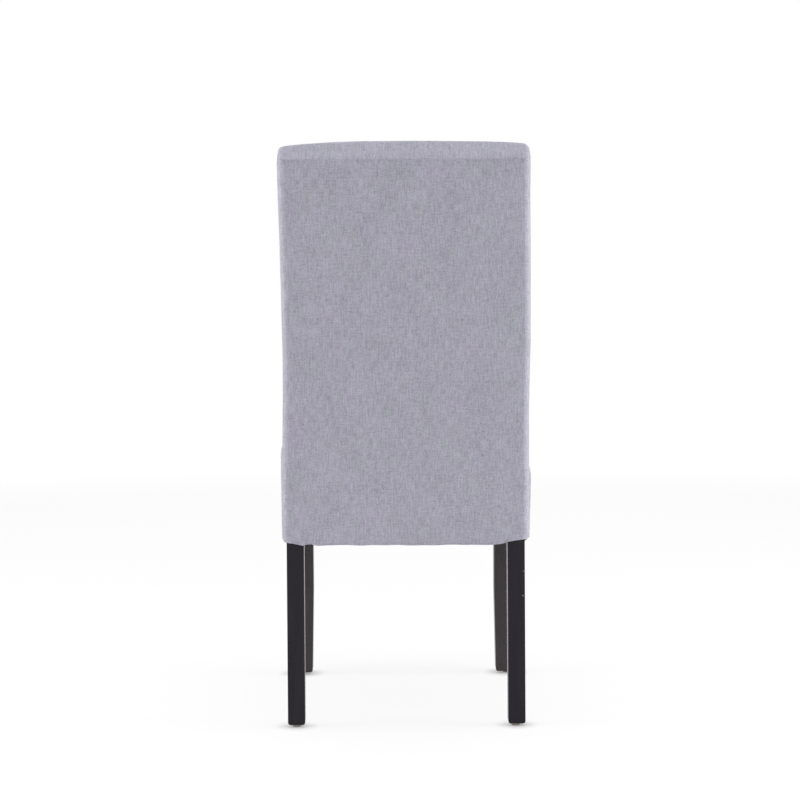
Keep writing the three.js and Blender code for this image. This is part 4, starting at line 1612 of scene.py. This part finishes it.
    def lay_cloth(self, mesh: Mesh) -> None:
        """Gives the faces metric coordinates as one cloth rolled out flat, cut open at the corner seams.

        Args:
            mesh: The skin's mesh.
        """
        form = self.form
        middle = (form.front + form.rear) / 2
        half, deep = form.front_half - form.roll, (form.rear - form.front) / 2 - form.roll
        at = read_points(mesh)
        drop = np.maximum(form.side_top + form.roll_rise - at[:, 2], 0.0)
        sideways = np.stack([at[:, 0] + np.sign(at[:, 0]) * drop, at[:, 1]], 1)
        lengthways = np.stack([at[:, 0], at[:, 1] + np.sign(at[:, 1] - middle) * drop], 1)
        layer = mesh.uv_layers.new(name=CLOTH_UV)
        for face in mesh.polygons:
            spot = face.center
            uv = sideways if abs(spot.x) - half > max(middle - spot.y - deep, 0.0) else lengthways
            for loop, vertex in zip(face.loop_indices, face.vertices):
                layer.data[loop].uv = uv[vertex]

    def build(self) -> None:
        """Makes the seat's cloth."""
        piece = mesh_object("seat_cloth", self.mesh(), self.cloth)
        self.inflate(piece)
        thicken(piece, self.thickness)
        dress(piece, "upholstery_cloth", "seat_cover")
        self.pieces.append(piece)


# Wooden legs and posts, and their glides


@dataclass
class Bar:
    """A square wooden member with rounded arrises, lofted through level sections."""

    arris: float = 0.0012
    foot_round: float = 0.0050
    steps: int = 4
    top_turns: Pair = (pi / 6, QUARTER)
    sharp: float = radians(50)

    def section(self, x0: float, x1: float, y0: float, y1: float) -> Array:
        """A rounded rectangle, counter-clockwise from above.

        Args:
            x0: The lowest x.
            x1: The highest x.
            y0: The lowest y.
            y1: The highest y.

        Returns:
            One row of X and Y for each point.
        """
        r = self.arris
        corners = ((x1 - r, y0 + r, -QUARTER), (x1 - r, y1 - r, 0.0), (x0 + r, y1 - r, QUARTER),
                   (x0 + r, y0 + r, pi))
        return np.concatenate([rounded(cx, cy, r, start, self.steps) for cx, cy, start in corners])

    def stations(self, heights: Sequence[float]) -> list[Pair]:
        """Where the member's sections lie, with its rounded foot and top.

        Args:
            heights: The heights of the plain sections, from the foot up.

        Returns:
            The height of each section, and how far it is drawn in.
        """
        low, high = heights[0], heights[-1]
        rows = [(low + self.foot_round * (1 - cos(turn)), self.foot_round * (1 - sin(turn)))
                for turn in np.linspace(0, QUARTER, self.steps + 2)]
        rows += [(z, 0.0) for z in heights[1:-1] if low + self.foot_round < z < high - self.arris]
        rows.append((high - self.arris, 0.0))
        return rows + [(high - self.arris * (1 - sin(turn)), self.arris * (1 - cos(turn)))
                       for turn in np.linspace(*self.top_turns, 3)]

    def loft(self, name: str, box_at: SectionAt, heights: Sequence[float],
             material: Material) -> Object:
        """Lofts the member.

        Args:
            name: The piece's name.
            box_at: Gives x0, x1, y0 and y1 at a height.
            heights: The heights of the sections, from the foot up.
            material: The finish.

        Returns:
            The closed member.
        """
        rings = []
        for z, pull in self.stations(heights):
            x0, x1, y0, y1 = box_at(z)
            rings.append(raised(self.section(x0 + pull, x1 - pull, y0 + pull, y1 - pull), z))
        rings = np.array(rings)
        rows, count = rings.shape[:2]
        faces = grid_faces(rows, count, True) + tube_ends(rows, count)
        piece = mesh_object(name, mesh_of(rings.reshape(-1, 3), faces), material)
        piece.data.set_sharp_from_angle(angle=self.sharp)
        return piece


@dataclass
class Legs:
    """The four visible legs: two tapered front legs and two posts that run up into the back."""

    form: BackForm
    lacquer: Material
    # The front legs' lacquer is the same black painted lighter: painted light for the light that the front
    # legs catch
    front_lacquer: Material
    bar: Bar = field(default_factory=Bar)
    foot: float = 0.0042
    left_post: Pair = (0.1735, 0.2030)
    right_post: Pair = (0.1750, 0.2045)
    splay: float = 0.015
    splay_top: float = 0.310
    foot_depth: float = 0.032
    taper: float = 0.0032
    taper_height: float = 0.165
    front_heights: tuple[float, ...] = (0.05, 0.10, 0.15, 0.17, 0.25, 0.32)
    splayed_heights: tuple[float, ...] = (0.08, 0.16, 0.24, 0.30, 0.32, 0.40)
    raked_heights: tuple[float, ...] = (0.6, 0.7, 0.8, 0.9)
    bend_top: float = 0.50
    bend_sections: int = 9

    def post_box(self, side: Side) -> SectionAt:
        """The sections of a rear post.

        Args:
            side: The post's side.

        Returns:
            A function from a height to the section's x0, x1, y0 and y1.
        """
        form = self.form
        inner, outer = self.left_post if side is Side.LEFT else self.right_post
        x0, x1 = sorted((side.value * inner, side.value * outer))

        def box(z: float) -> Quad:
            """The post's section at a height."""
            low, high = form.post_depth
            if z < self.splay_top:
                share = (z - self.foot) / (self.splay_top - self.foot)
                rear = form.post_rear + self.splay * (1 - share)
                depth = self.foot_depth + (low - self.foot_depth) * share
            else:
                rear = form.post_rear + form.lean(z)
                depth = low + (high - low) * share_between(z, form.rake_start, form.post_top)
            return x0, x1, rear - depth, rear

        return box

    def front_box(self, side: Side) -> SectionAt:
        """The sections of a front leg.

        Args:
            side: The leg's side.

        Returns:
            A function from a height to the section's x0, x1, y0 and y1.
        """
        low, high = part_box(f"front_{side.word}_leg")
        inner, outer = sorted((abs(low.x), abs(high.x)))

        def box(z: float) -> Quad:
            """The leg's section at a height."""
            cut = self.taper * share_between(z, self.taper_height, self.foot)
            x0, x1 = sorted((side.value * (inner + cut), side.value * outer))
            return x0, x1, low.y, high.y - cut

        return box

    def build(self) -> None:
        """Makes the four legs."""
        bend = np.linspace(self.form.rake_start, self.bend_top, self.bend_sections)
        lower = sorted((*self.splayed_heights, self.splay_top))
        post_heights = [self.foot, *lower, *bend, *self.raked_heights, self.form.post_top]
        front_heights = sorted((*self.front_heights, self.taper_height))
        for side in Side:
            node = f"front_{side.word}_leg"
            heights = [self.foot, *front_heights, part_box(node)[1].z]
            leg = self.bar.loft(f"{node}_wood", self.front_box(side), heights, self.front_lacquer)
            dress(leg, "black_wood", node)
            node = f"rear_{side.word}_post"
            post = self.bar.loft(f"{node}_wood", self.post_box(side), post_heights, self.lacquer)
            dress(post, "black_wood", node)


@dataclass
class Glides:
    """Nailed steel glides under the four feet.

    The dome's outline is its radius as a share of the glide's and its height in metres.
    """

    steel: Material
    sides: int = 40
    dome_shares: Table = ((0.72, 0.0), (0.86, 0.0002), (0.95, 0.0008), (1.0, 0.0016), (1.0, 0.0034),
                          (0.97, 0.0039), (0.9, 0.0041))
    dome_top: float = 0.0041
    nail_radius: float = 0.0016
    nail_point: float = 0.0016
    sharp: float = radians(35)

    def build(self) -> None:
        """Makes a rounded glide in place of each CAD one."""
        turn = np.linspace(0, 2 * pi, self.sides, endpoint=False)
        for node in (f"{where}_{side.word}_glide" for where in ("front", "rear") for side in Side):
            low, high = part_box(node)
            centre, radius = (low + high) / 2, (high.x - low.x) / 2
            profile = [(radius * share, z) for share, z in self.dome_shares]
            profile += [(self.nail_radius, self.dome_top), (self.nail_radius, high.z - self.nail_point)]
            rings = [raised(np.stack([centre.x + r * np.cos(turn), centre.y + r * np.sin(turn)], 1), z)
                     for r, z in profile]
            points = np.concatenate([*rings, [[centre.x, centre.y, 0.0], [centre.x, centre.y, high.z]]])
            faces = grid_faces(len(rings), self.sides, True)
            bottom, top = len(points) - 2, len(points) - 1
            last = (len(rings) - 1) * self.sides
            for k in range(self.sides):
                n = (k + 1) % self.sides
                faces += [(n, k, bottom), (last + k, last + n, top)]
            piece = mesh_object(f"{node}_steel", mesh_of(points, faces), self.steel)
            piece.data.set_sharp_from_angle(angle=self.sharp)
            dress(piece, "glide", node)


# Hidden soft pieces and board


@dataclass
class SoftCores:
    """The foam and wadding inside the covers, in the space that their solids hold.

    Each fill is its node, its kind and the covers that it lies under.
    """

    finishes: dict[str, Material]
    nodes: dict[str, Object]
    covers: dict[str, list[Object]]
    fills: tuple[tuple[str, str, str], ...] = (
        ("seat_foam", "foam", "seat"), ("seat_wadding", "wadding", "seat"),
        ("inside_back_foam", "foam", "back"), ("back_wadding", "wadding", "back"))
    depth: float = 0.0040
    reach: float = 0.03
    hem: float = 0.313
    hem_clear: float = 0.020
    hem_reach: float = 0.040
    longest: float = 0.024
    most_cuts: int = 5
    pushes: int = 2
    merge: float = 1e-5
    sharp: float = radians(40)

    def surface(self, over: str) -> BVHTree:
        """The outer faces of the seat's or the back's covers, to measure depths from.

        Args:
            over: The covers' key.

        Returns:
            The faces as a search tree.
        """
        points, faces, start = [], [], 0
        for cover in self.covers[over]:
            points += [v.co.copy() for v in cover.data.vertices]
            faces += [[start + k for k in p.vertices] for p in cover.data.polygons]
            start += len(cover.data.vertices)
        return BVHTree.FromPolygons(points, faces)

    def refine(self, work: bmesh.types.BMesh) -> None:
        """Cuts a fill's long edges, so that it can follow the cloth.

        Args:
            work: The fill's merged mesh.
        """
        for _ in range(self.most_cuts):
            long = [e for e in work.edges if e.calc_length() > self.longest]
            if not long:
                break
            bmesh.ops.subdivide_edges(work, edges=long, cuts=1)
            bmesh.ops.triangulate(work, faces=[f for f in work.faces if len(f.verts) > 4])

    def tuck(self, work: bmesh.types.BMesh, cloth: BVHTree) -> None:
        """Keeps a fill under its cloth and above the raised hem.

        Args:
            work: The fill's merged mesh.
            cloth: The covers' outer faces.
        """
        top = self.hem + self.hem_reach
        low = min(v.co.z for v in work.verts)
        share = min((top - self.hem - self.hem_clear) / (top - low), 1.0)
        for vert in work.verts:
            if vert.co.z < top:
                vert.co.z = top - (top - vert.co.z) * share
            for _ in range(self.pushes):
                spot, normal, _index, away = cloth.find_nearest(vert.co)
                if spot is None or away > self.reach:
                    break
                depth = (spot - vert.co).dot(normal)
                if depth < self.depth:
                    vert.co -= normal * (self.depth - depth)

    def build(self) -> None:
        """Makes a merged, smooth piece for each foam and wadding node."""
        cloths = {over: self.surface(over) for over in self.covers}
        for node, kind, over in self.fills:
            mesh = self.nodes[node].data.copy()
            with opened(mesh) as work:
                weld(work, self.merge)
                self.refine(work)
                self.tuck(work, cloths[over])
            piece = mesh_object(f"{node}_fill", mesh, self.finishes[kind])
            piece.data.set_sharp_from_angle(angle=self.sharp)
            dress(piece, kind, node)


@dataclass
class RearBoard:
    """The thin board behind the posts, cut clear of the raised hem."""

    node: Object
    board: Material
    lower_edge: float = 0.333
    softening: float = 0.0006
    merge: float = 1e-5
    flat: float = radians(1)

    def build(self) -> None:
        """Makes the board with its softened edges."""
        mesh = self.node.data.copy()
        with opened(mesh) as work:
            weld(work, self.merge)
            bmesh.ops.dissolve_limit(work, angle_limit=self.flat, verts=work.verts, edges=work.edges)
            for vert in work.verts:
                vert.co.z = max(vert.co.z, self.lower_edge)
        piece = mesh_object("rear_board_panel", mesh, self.board)
        edge = piece.modifiers.new("edges", "BEVEL")
        edge.width, edge.segments, edge.limit_method = self.softening, 2, "ANGLE"
        dress(piece, "hardboard", "rear_board")


# Stitches, staples and dust cover


class Repeater:
    """A Geometry Nodes tree that repeats a small shape along lines."""

    def __init__(self, name: str, material: Material, seed: int = 7) -> None:
        """Makes the tree and its named inputs.

        Args:
            name: The tree's name.
            material: The material that it sets.
            seed: The seed of the repeats' uneven sizes.
        """
        self.tree = bpy.data.node_groups.new(name, "GeometryNodeTree")
        face = self.tree.interface
        face.new_socket("Lines", in_out="INPUT", socket_type="NodeSocketGeometry")
        self.keys = {label: face.new_socket(label, in_out="INPUT", socket_type=kind).identifier
                     for label, kind in (("Shape", "NodeSocketObject"), ("Pitch", "NodeSocketFloat"),
                                         ("Uneven", "NodeSocketFloat"))}
        face.new_socket("Repeats", in_out="OUTPUT", socket_type="NodeSocketGeometry")
        self.wire(material, seed)

    def add(self, kind: str, settings: dict, links: dict) -> bpy.types.Node:
        """Adds a node with its settings, then its values and links.

        Args:
            kind: The node's type.
            settings: Properties to set first.
            links: Values or output sockets by input name or number.

        Returns:
            The node.
        """
        node = self.tree.nodes.new(kind)
        for key, value in settings.items():
            setattr(node, key, value)
        for key, value in links.items():
            if isinstance(value, bpy.types.NodeSocket):
                self.tree.links.new(value, node.inputs[key])
            else:
                node.inputs[key].default_value = value
        return node

    def wire(self, material: Material, seed: int) -> None:
        """Joins up the tree.

        Args:
            material: The material that it sets.
            seed: The seed of the repeats' uneven sizes.
        """
        given = self.add("NodeGroupInput", {}, {}).outputs
        curve = self.add("GeometryNodeMeshToCurve", {}, {"Mesh": given["Lines"]})
        even = self.add("GeometryNodeResampleCurve", {"mode": "LENGTH"},
                        {"Curve": curve.outputs[0], "Length": given["Pitch"]})
        tangent = self.add("GeometryNodeInputTangent", {}, {})
        turned = self.add("FunctionNodeAlignRotationToVector", {"axis": "X"}, {"Vector": tangent.outputs[0]})
        shape = self.add("GeometryNodeObjectInfo", {}, {"Object": given["Shape"]})
        least = self.add("ShaderNodeMath", {"operation": "SUBTRACT"}, {0: 1.0, 1: given["Uneven"]})
        scale = self.add("FunctionNodeRandomValue", {"data_type": "FLOAT"}, {"Max": 1.0, "Seed": seed})
        self.tree.links.new(least.outputs[0], next(i for i in scale.inputs if i.name == "Min" and i.enabled))
        placed = self.add("GeometryNodeInstanceOnPoints", {}, {
            "Points": even.outputs[0], "Instance": shape.outputs["Geometry"], "Rotation": turned.outputs[0],
            "Scale": next(o for o in scale.outputs if o.enabled)})
        real = self.add("GeometryNodeRealizeInstances", {}, {"Geometry": placed.outputs[0]})
        done = self.add("GeometryNodeSetMaterial", {}, {"Geometry": real.outputs[0], "Material": material})
        self.add("NodeGroupOutput", {}, {0: done.outputs[0]})

    def run(self, name: str, lines: Sequence[Array], shape: Mesh, pitch: float,
            uneven: float) -> Object:
        """Repeats a shape along some lines.

        Args:
            name: The new piece's name.
            lines: Rows of points for each line.
            shape: The shape, along X.
            pitch: The distance from one to the next in metres.
            uneven: The share by which some are smaller.

        Returns:
            The plain mesh piece.
        """
        edges, start = [], 0
        for line in lines:
            edges += [(start + k, start + k + 1) for k in range(len(line) - 1)]
            start += len(line)
        path = bpy.data.meshes.new("lines")
        path.from_pydata(np.concatenate(lines).tolist(), edges, [])
        carrier, model = bpy.data.objects.new("lines", path), bpy.data.objects.new("shape", shape)
        for item in (carrier, model):
            bpy.context.scene.collection.objects.link(item)
        modifier = carrier.modifiers.new("repeat", "NODES")
        modifier.node_group = self.tree
        for label, value in (("Shape", model), ("Pitch", pitch), ("Uneven", uneven)):
            modifier[self.keys[label]] = value
        evaluated = carrier.evaluated_get(bpy.context.evaluated_depsgraph_get())
        mesh = bpy.data.meshes.new_from_object(evaluated)
        for item in (carrier, model):
            bpy.data.objects.remove(item)
        return mesh_object(name, mesh, None)


@dataclass(frozen=True)
class Pill:
    """A small rounded bar along X whose ends dive by bend, as a stitch or a staple's crown."""

    length: float
    radius: float
    bend: float
    sides: int = 6
    steps: int = 5
    end_thinning: float = 0.75

    def mesh(self) -> Mesh:
        """The bar's closed mesh.

        Returns:
            The mesh.
        """
        turn = np.linspace(0, 2 * pi, self.sides, endpoint=False)
        rings = []
        for share in np.linspace(-1, 1, self.steps):
            wide = self.radius * (1 - self.end_thinning * abs(share) ** 4)
            rings.append(np.stack([np.full(self.sides, share * self.length / 2), wide * np.cos(turn),
                                   wide * np.sin(turn) - self.bend * abs(share) ** 3], 1)[::-1])
        faces = grid_faces(self.steps, self.sides, True) + tube_ends(self.steps, self.sides)
        return mesh_of(np.concatenate(rings), faces)


@dataclass
class Sewing:
    """The visible stitches beside the seams and the staples under the seat."""

    thread: Material
    wire: Material
    stitch: Pill = Pill(0.0030, 0.00026, 0.0)
    stitch_pitch: float = 0.0042
    stitch_uneven: float = 0.15
    staple: Pill = Pill(0.0095, 0.00035, -0.0006)
    staple_pitch: float = 0.034

    def build(self, back: list[Array], seat: list[Array], staples: list[Array]) -> None:
        """Makes the stitches and staples.

        Args:
            back: Lines for the back's stitches.
            seat: Lines for the seat's stitches.
            staples: Lines for the staples.
        """
        sewer = Repeater("sewing", self.thread)
        for name, lines in (("back_stitches", back), ("seat_stitches", seat)):
            piece = sewer.run(name, lines, self.stitch.mesh(), self.stitch_pitch, self.stitch_uneven)
            dress(piece, "upholstery_cloth")
        stapler = Repeater("stapling", self.wire)
        piece = stapler.run("staples", staples, self.staple.mesh(), self.staple_pitch, 0.0)
        dress(piece, "zinc_steel")


@dataclass
class DustCover:
    """Black non-woven cloth stapled under the seat rails, sagging a little between them."""

    cloth: Material
    form: BackForm
    sag: float = 0.0022
    sag_fade: float = 0.05
    sag_power: float = 0.7
    wave_share: float = 0.25
    wave_turns: Triple = (31, 0.5, 9)
    thickness: float = 0.0004
    below_top: float = 0.0003
    step: float = 0.012
    least_step_share: float = 0.35
    notch_clear: float = 0.0006
    staple_inset: float = 0.006
    staple_below: float = 0.0004
    staple_clear: float = 0.012
    staples: list[Array] = field(default_factory=list)

    def build(self) -> None:
        """Makes the cloth, notched round the legs."""
        low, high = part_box("dust_cover")
        legs = [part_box(f"front_{side.word}_leg") for side in Side]
        leg_inner = min(min(abs(a.x), abs(b.x)) for a, b in legs) - self.notch_clear
        leg_back = max(b.y for _, b in legs) + self.notch_clear
        post_inner = min(abs(v.x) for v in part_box("rear_left_post")) - self.notch_clear
        post_front = self.form.post_rear - self.form.post_depth[0] - self.notch_clear
        self.plan_staples(low, high, (leg_inner, leg_back), (post_inner, post_front))
        xs = self.lines(low.x, high.x, [-leg_inner, leg_inner, -post_inner, post_inner])
        ys = self.lines(low.y, high.y, [leg_back, post_front])
        cols = len(xs)
        faces = []
        for r, my in enumerate((ys[1:] + ys[:-1]) / 2):
            for c, mx in enumerate(np.abs(xs[1:] + xs[:-1]) / 2):
                if not ((mx > leg_inner and my < leg_back) or (mx > post_inner and my > post_front)):
                    a = r * cols + c
                    faces.append((a, a + cols, a + cols + 1, a + 1))
        mesh = mesh_of(self.sagging(xs, ys, high.z).reshape(-1, 3), faces)
        with opened(mesh) as work:
            bmesh.ops.delete(work, geom=[v for v in work.verts if not v.link_faces], context="VERTS")
        piece = mesh_object("dust_cover_cloth", mesh, self.cloth)
        thicken(piece, self.thickness)
        dress(piece, "dust_cloth", "dust_cover")

    def sagging(self, xs: Array, ys: Array, top: float) -> Array:
        """The cloth's grid of points, level at its edges and lower between them.

        Args:
            xs: The grid's x places.
            ys: The grid's y places.
            top: The height of the solid's top.

        Returns:
            The grid's points.
        """
        gx, gy = np.meshgrid(xs, ys)
        across = (gy - ys[0]) / (ys[-1] - ys[0])
        edge = np.minimum.reduce([gx - xs[0], xs[-1] - gx, gy - ys[0], ys[-1] - gy])
        shape = np.clip(edge / self.sag_fade, 0, 1) ** self.sag_power
        turns, start, along = self.wave_turns
        wave = 1 + self.wave_share * np.sin(gx * turns + start) * np.sin(across * along)
        return np.stack([gx, gy, top - self.below_top - self.sag * shape * wave], 2)

    def plan_staples(self, low: Vector, high: Vector, leg: Pair, post: Pair) -> None:
        """Lays the staples' lines along the cloth's four edges, clear of the legs.

        Args:
            low: The cover's lowest corner.
            high: The cover's highest corner.
            leg: The front legs' inner x and rear y.
            post: The posts' inner x and front y.
        """
        z, inset, clear = low.z - self.staple_below, self.staple_inset, self.staple_clear
        for side in Side:
            x = side.value * (high.x - inset)
            self.staples.append(np.array([[x, leg[1] + clear, z], [x, post[1] - clear, z]]))
        for y, reach in ((low.y + inset, leg[0] - clear), (high.y - inset, post[0] - clear)):
            self.staples.append(np.array([[-reach, y, z], [reach, y, z]]))

    def lines(self, low: float, high: float, extra: Sequence[float]) -> Array:
        """Grid lines from low to high that include some extra places.

        Args:
            low: The first line.
            high: The last line.
            extra: The places that get a line of their own.

        Returns:
            The lines in order.
        """
        base = np.linspace(low, high, round((high - low) / self.step) + 1)
        least = self.step * self.least_step_share
        keep = [v for v in base if min(abs(v - e) for e in extra) > least or v in (low, high)]
        return np.array(sorted(keep + [e for e in extra if low < e < high]))


# The studio


@dataclass(frozen=True)
class Softbox:
    """One rectangular lamp: where it stands, what it faces, its size, its watts and its colour."""

    name: str
    place: Triple
    target: Triple
    size: Pair
    power: float
    colour: Triple = (1.0, 1.0, 1.0)

    def build(self) -> None:
        """Hangs the lamp."""
        data = bpy.data.lights.new(self.name, "AREA")
        data.shape = "RECTANGLE"
        data.size, data.size_y = self.size
        data.energy = self.power
        data.color = self.colour
        lamp = bpy.data.objects.new(self.name, data)
        bpy.context.scene.collection.objects.link(lamp)
        lamp.location = self.place
        ahead = Vector(self.target) - Vector(self.place)
        lamp.rotation_euler = ahead.to_track_quat("-Z", "Y").to_euler()


@dataclass
class Studio:
    """Camera, lamps, floor and background."""

    focal_pixels: float = 2408.3
    place: Triple = (0.0293, 4.298, 0.9003)
    pitch: float = radians(4.734)
    yaw: float = radians(0.305)
    roll: float = radians(-0.348)
    image_width: float = 800.0
    sensor: float = 36.0
    clip_end: float = 100.0
    surround: float = 0.50
    floor_reach: float = 30.0
    floor_lit: Triple = (0.86, 0.86, 0.86)
    floor_shade: Triple = (0.15, 0.15, 0.15)
    floor_glow: Triple = (0.828, 0.818, 0.823)
    white: Triple = (1.0, 1.0, 1.0)
    fade: Pair = (3.0, 3.9)
    # The painted contact shadow round the feet: its reach, its dark glow and its samples
    contact: float = 0.026
    contact_shade: Triple = (0.34, 0.33, 0.33)
    contact_samples: int = 8
    lamps: tuple[Softbox, ...] = (
        Softbox("top_softbox", (0.0, 0.2, 3.4), (0.0, 0.0, 0.5), (3.0, 3.0), 39.0),
        Softbox("left_softbox", (3.2, 0.3, 1.3), (0.0, 0.0, 0.6), (1.8, 2.4), 80.0, (1.0, 0.985, 0.93)),
        Softbox("right_softbox", (-3.2, 0.3, 1.3), (0.0, 0.0, 0.6), (1.8, 2.4), 96.0, (1.0, 0.99, 0.975)),
        Softbox("rear_softbox", (0.0, 4.6, 2.3), (0.0, 0.0, 0.6), (3.0, 2.0), 35.0),
        Softbox("front_softbox", (0.0, -4.6, 2.3), (0.0, 0.0, 0.6), (3.0, 2.0), 35.0))

    def camera(self) -> None:
        """Sets the photograph's camera."""
        data = bpy.data.cameras.new("camera")
        data.sensor_width = self.sensor
        data.lens = self.focal_pixels / self.image_width * self.sensor
        data.clip_end = self.clip_end
        camera = bpy.data.objects.new("camera", data)
        bpy.context.scene.collection.objects.link(camera)
        level = cos(self.pitch)
        ahead = Vector((-sin(self.yaw) * level, -cos(self.yaw) * level, -sin(self.pitch)))
        right = ahead.cross(Vector((0, 0, 1))).normalized()
        up = right.cross(ahead)
        c, s = cos(self.roll), sin(self.roll)
        right, up = c * right + s * up, c * up - s * right
        turn = Matrix((right, up, -ahead)).transposed().to_4x4()
        camera.matrix_world = Matrix.Translation(self.place) @ turn
        bpy.context.scene.camera = camera

    @staticmethod
    def seen(g: Graph) -> Sock:
        """1 for the camera's rays and for mirrored or refracted ones, else 0."""
        camera, glossy, through = (g.node("ShaderNodeLightPath", {}, {}, way) for way in
                                   ("Is Camera Ray", "Is Glossy Ray", "Is Transmission Ray"))
        return (camera + glossy + through).clamped()

    def world(self) -> None:
        """A plain white surround: pure white to the camera and in reflections, softer as light."""
        world = bpy.data.worlds.new("surround")
        bpy.context.scene.world = world
        g = Graph(world)
        soft, white = (g.node("ShaderNodeBackground", {}, {"Color": self.white, "Strength": strength})
                       for strength in (self.surround, 1.0))
        g.node("ShaderNodeOutputWorld", {}, {"Surface": g.mixed(self.seen(g), soft, white)}, None)

    def floor(self) -> None:
        """A pale floor that is near white to the camera and keeps the chair's shadow, with a painted contact
        shadow round the feet.
        """
        g = Graph.named("floor")
        lit, shade = (g.node("ShaderNodeBsdfDiffuse", {}, {"Color": colour})
                      for colour in (self.floor_lit, self.floor_shade))
        near_white = g.node("ShaderNodeAddShader", {}, {0: shade, 1: g.glow(self.floor_glow)})
        at = g.place()
        far = (g.part(at, 0) ** 2.0 + g.part(at, 1) ** 2.0) ** 0.5
        fading = g.mixed(far.step(*self.fade), near_white, g.glow(self.white))
        # Painted contact shadow: a dark glow mixed in where ambient occlusion finds the chair close
        open_share = g.node("ShaderNodeAmbientOcclusion", {"samples": self.contact_samples},
                            {"Distance": self.contact}, "AO")
        shown = g.mixed(open_share, g.glow(self.contact_shade), fading)
        shader = g.mixed(self.seen(g), lit, shown)
        g.node("ShaderNodeOutputMaterial", {}, {"Surface": shader}, None)
        reach = self.floor_reach
        points = np.array([[-reach, -reach, 0], [reach, -reach, 0], [reach, reach, 0], [-reach, reach, 0]])
        mesh_object("floor", mesh_of(points, [(0, 1, 2, 3)]), g.holder)

    def build(self) -> None:
        """Sets up the whole studio."""
        bpy.context.scene.view_settings.view_transform = "Standard"
        self.camera()
        self.world()
        self.floor()
        for lamp in self.lamps:
            lamp.build()


def finish_nodes(nodes: dict[str, Object]) -> None:
    """Gives each CAD node that stays its own finish.

    Args:
        nodes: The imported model's objects by node name.
    """
    across = RawWood("rail_wood_across", along=0).build()
    along = RawWood("rail_wood_along", along=1).build()
    blocks = RawWood("block_wood", pale=(0.66, 0.50, 0.31), deep=(0.47, 0.32, 0.17), along=0).build()
    strap_dark, strap_light, strap_pitch = (0.012, 0.012, 0.014), (0.045, 0.045, 0.05), 0.0018
    webbing = Woven("webbing", strap_dark, strap_light, strap_pitch).build()
    back_webbing = Woven("back_webbing", strap_dark, strap_light, strap_pitch, (0, 2)).build()
    hessian = Woven("hessian", (0.19, 0.13, 0.06), (0.50, 0.38, 0.21), 0.0016).build()
    zinc = Steel("zinc", (0.62, 0.62, 0.60), (0.40, 0.40, 0.38), 0.28, 0.2).build()
    rules = (
        ("corner_block", blocks), ("screw", zinc), ("bolt", zinc), ("left_seat_rail", along),
        ("right_seat_rail", along), ("rail", across), ("seat_strap", webbing), ("back_strap", back_webbing),
        ("deck", hessian))
    for name, node in nodes.items():
        for key, material in rules:
            if key in name:
                node.data.materials.clear()
                node.data.materials.append(material)
                break


def corners(box: tuple[Vector, Vector]) -> list[list[float]]:
    """A box as plain lists of numbers."""
    return [[float(v) for v in corner] for corner in box]


def main() -> None:
    """Builds the chair round its frame, then the studio."""
    logging.basicConfig(level=logging.INFO, format="%(name)s: %(message)s", stream=sys.stdout)
    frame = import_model()
    nodes = frame["nodes"]
    form = BackForm(post_rear=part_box("rear_seat_rail")[1].y + RAIL_SETBACK)
    seat_low, seat_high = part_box("seat_cover")
    linen = Linen().build()
    finish_nodes(nodes)
    back = BackCover(form, linen)
    back.build()
    seat = SeatCover(SeatForm(front=seat_low.y + SEAT_FRONT_SLACK, rear=seat_high.y), linen)
    seat.build()
    # The front legs get the black lacquer painted lighter and without nicks: painted light standing in for
    # the light they catch
    front_lacquer = BlackLacquer("black_lacquer_front", (0.043, 0.037, 0.041), (0.058, 0.051, 0.051), ())
    Legs(form, BlackLacquer().build(), front_lacquer.build()).build()
    Glides(Steel("glide_steel", (0.36, 0.31, 0.26), (0.16, 0.13, 0.10), 0.34, 0.6).build()).build()
    covers = {"seat": seat.pieces, "back": back.pieces}
    SoftCores({"foam": Foam().build(), "wadding": Wadding().build()}, nodes, covers).build()
    RearBoard(nodes["rear_board"], Board().build()).build()
    dust = DustCover(NonWoven().build(), form)
    dust.build()
    wire = Steel("staple_wire", (0.55, 0.55, 0.54), (0.36, 0.35, 0.33), 0.3, 0.3).build()
    Sewing(Thread().build(), wire).build(back.seams, seat.seams, dust.staples)
    Studio().build()


if __name__ == "__main__":
    main()
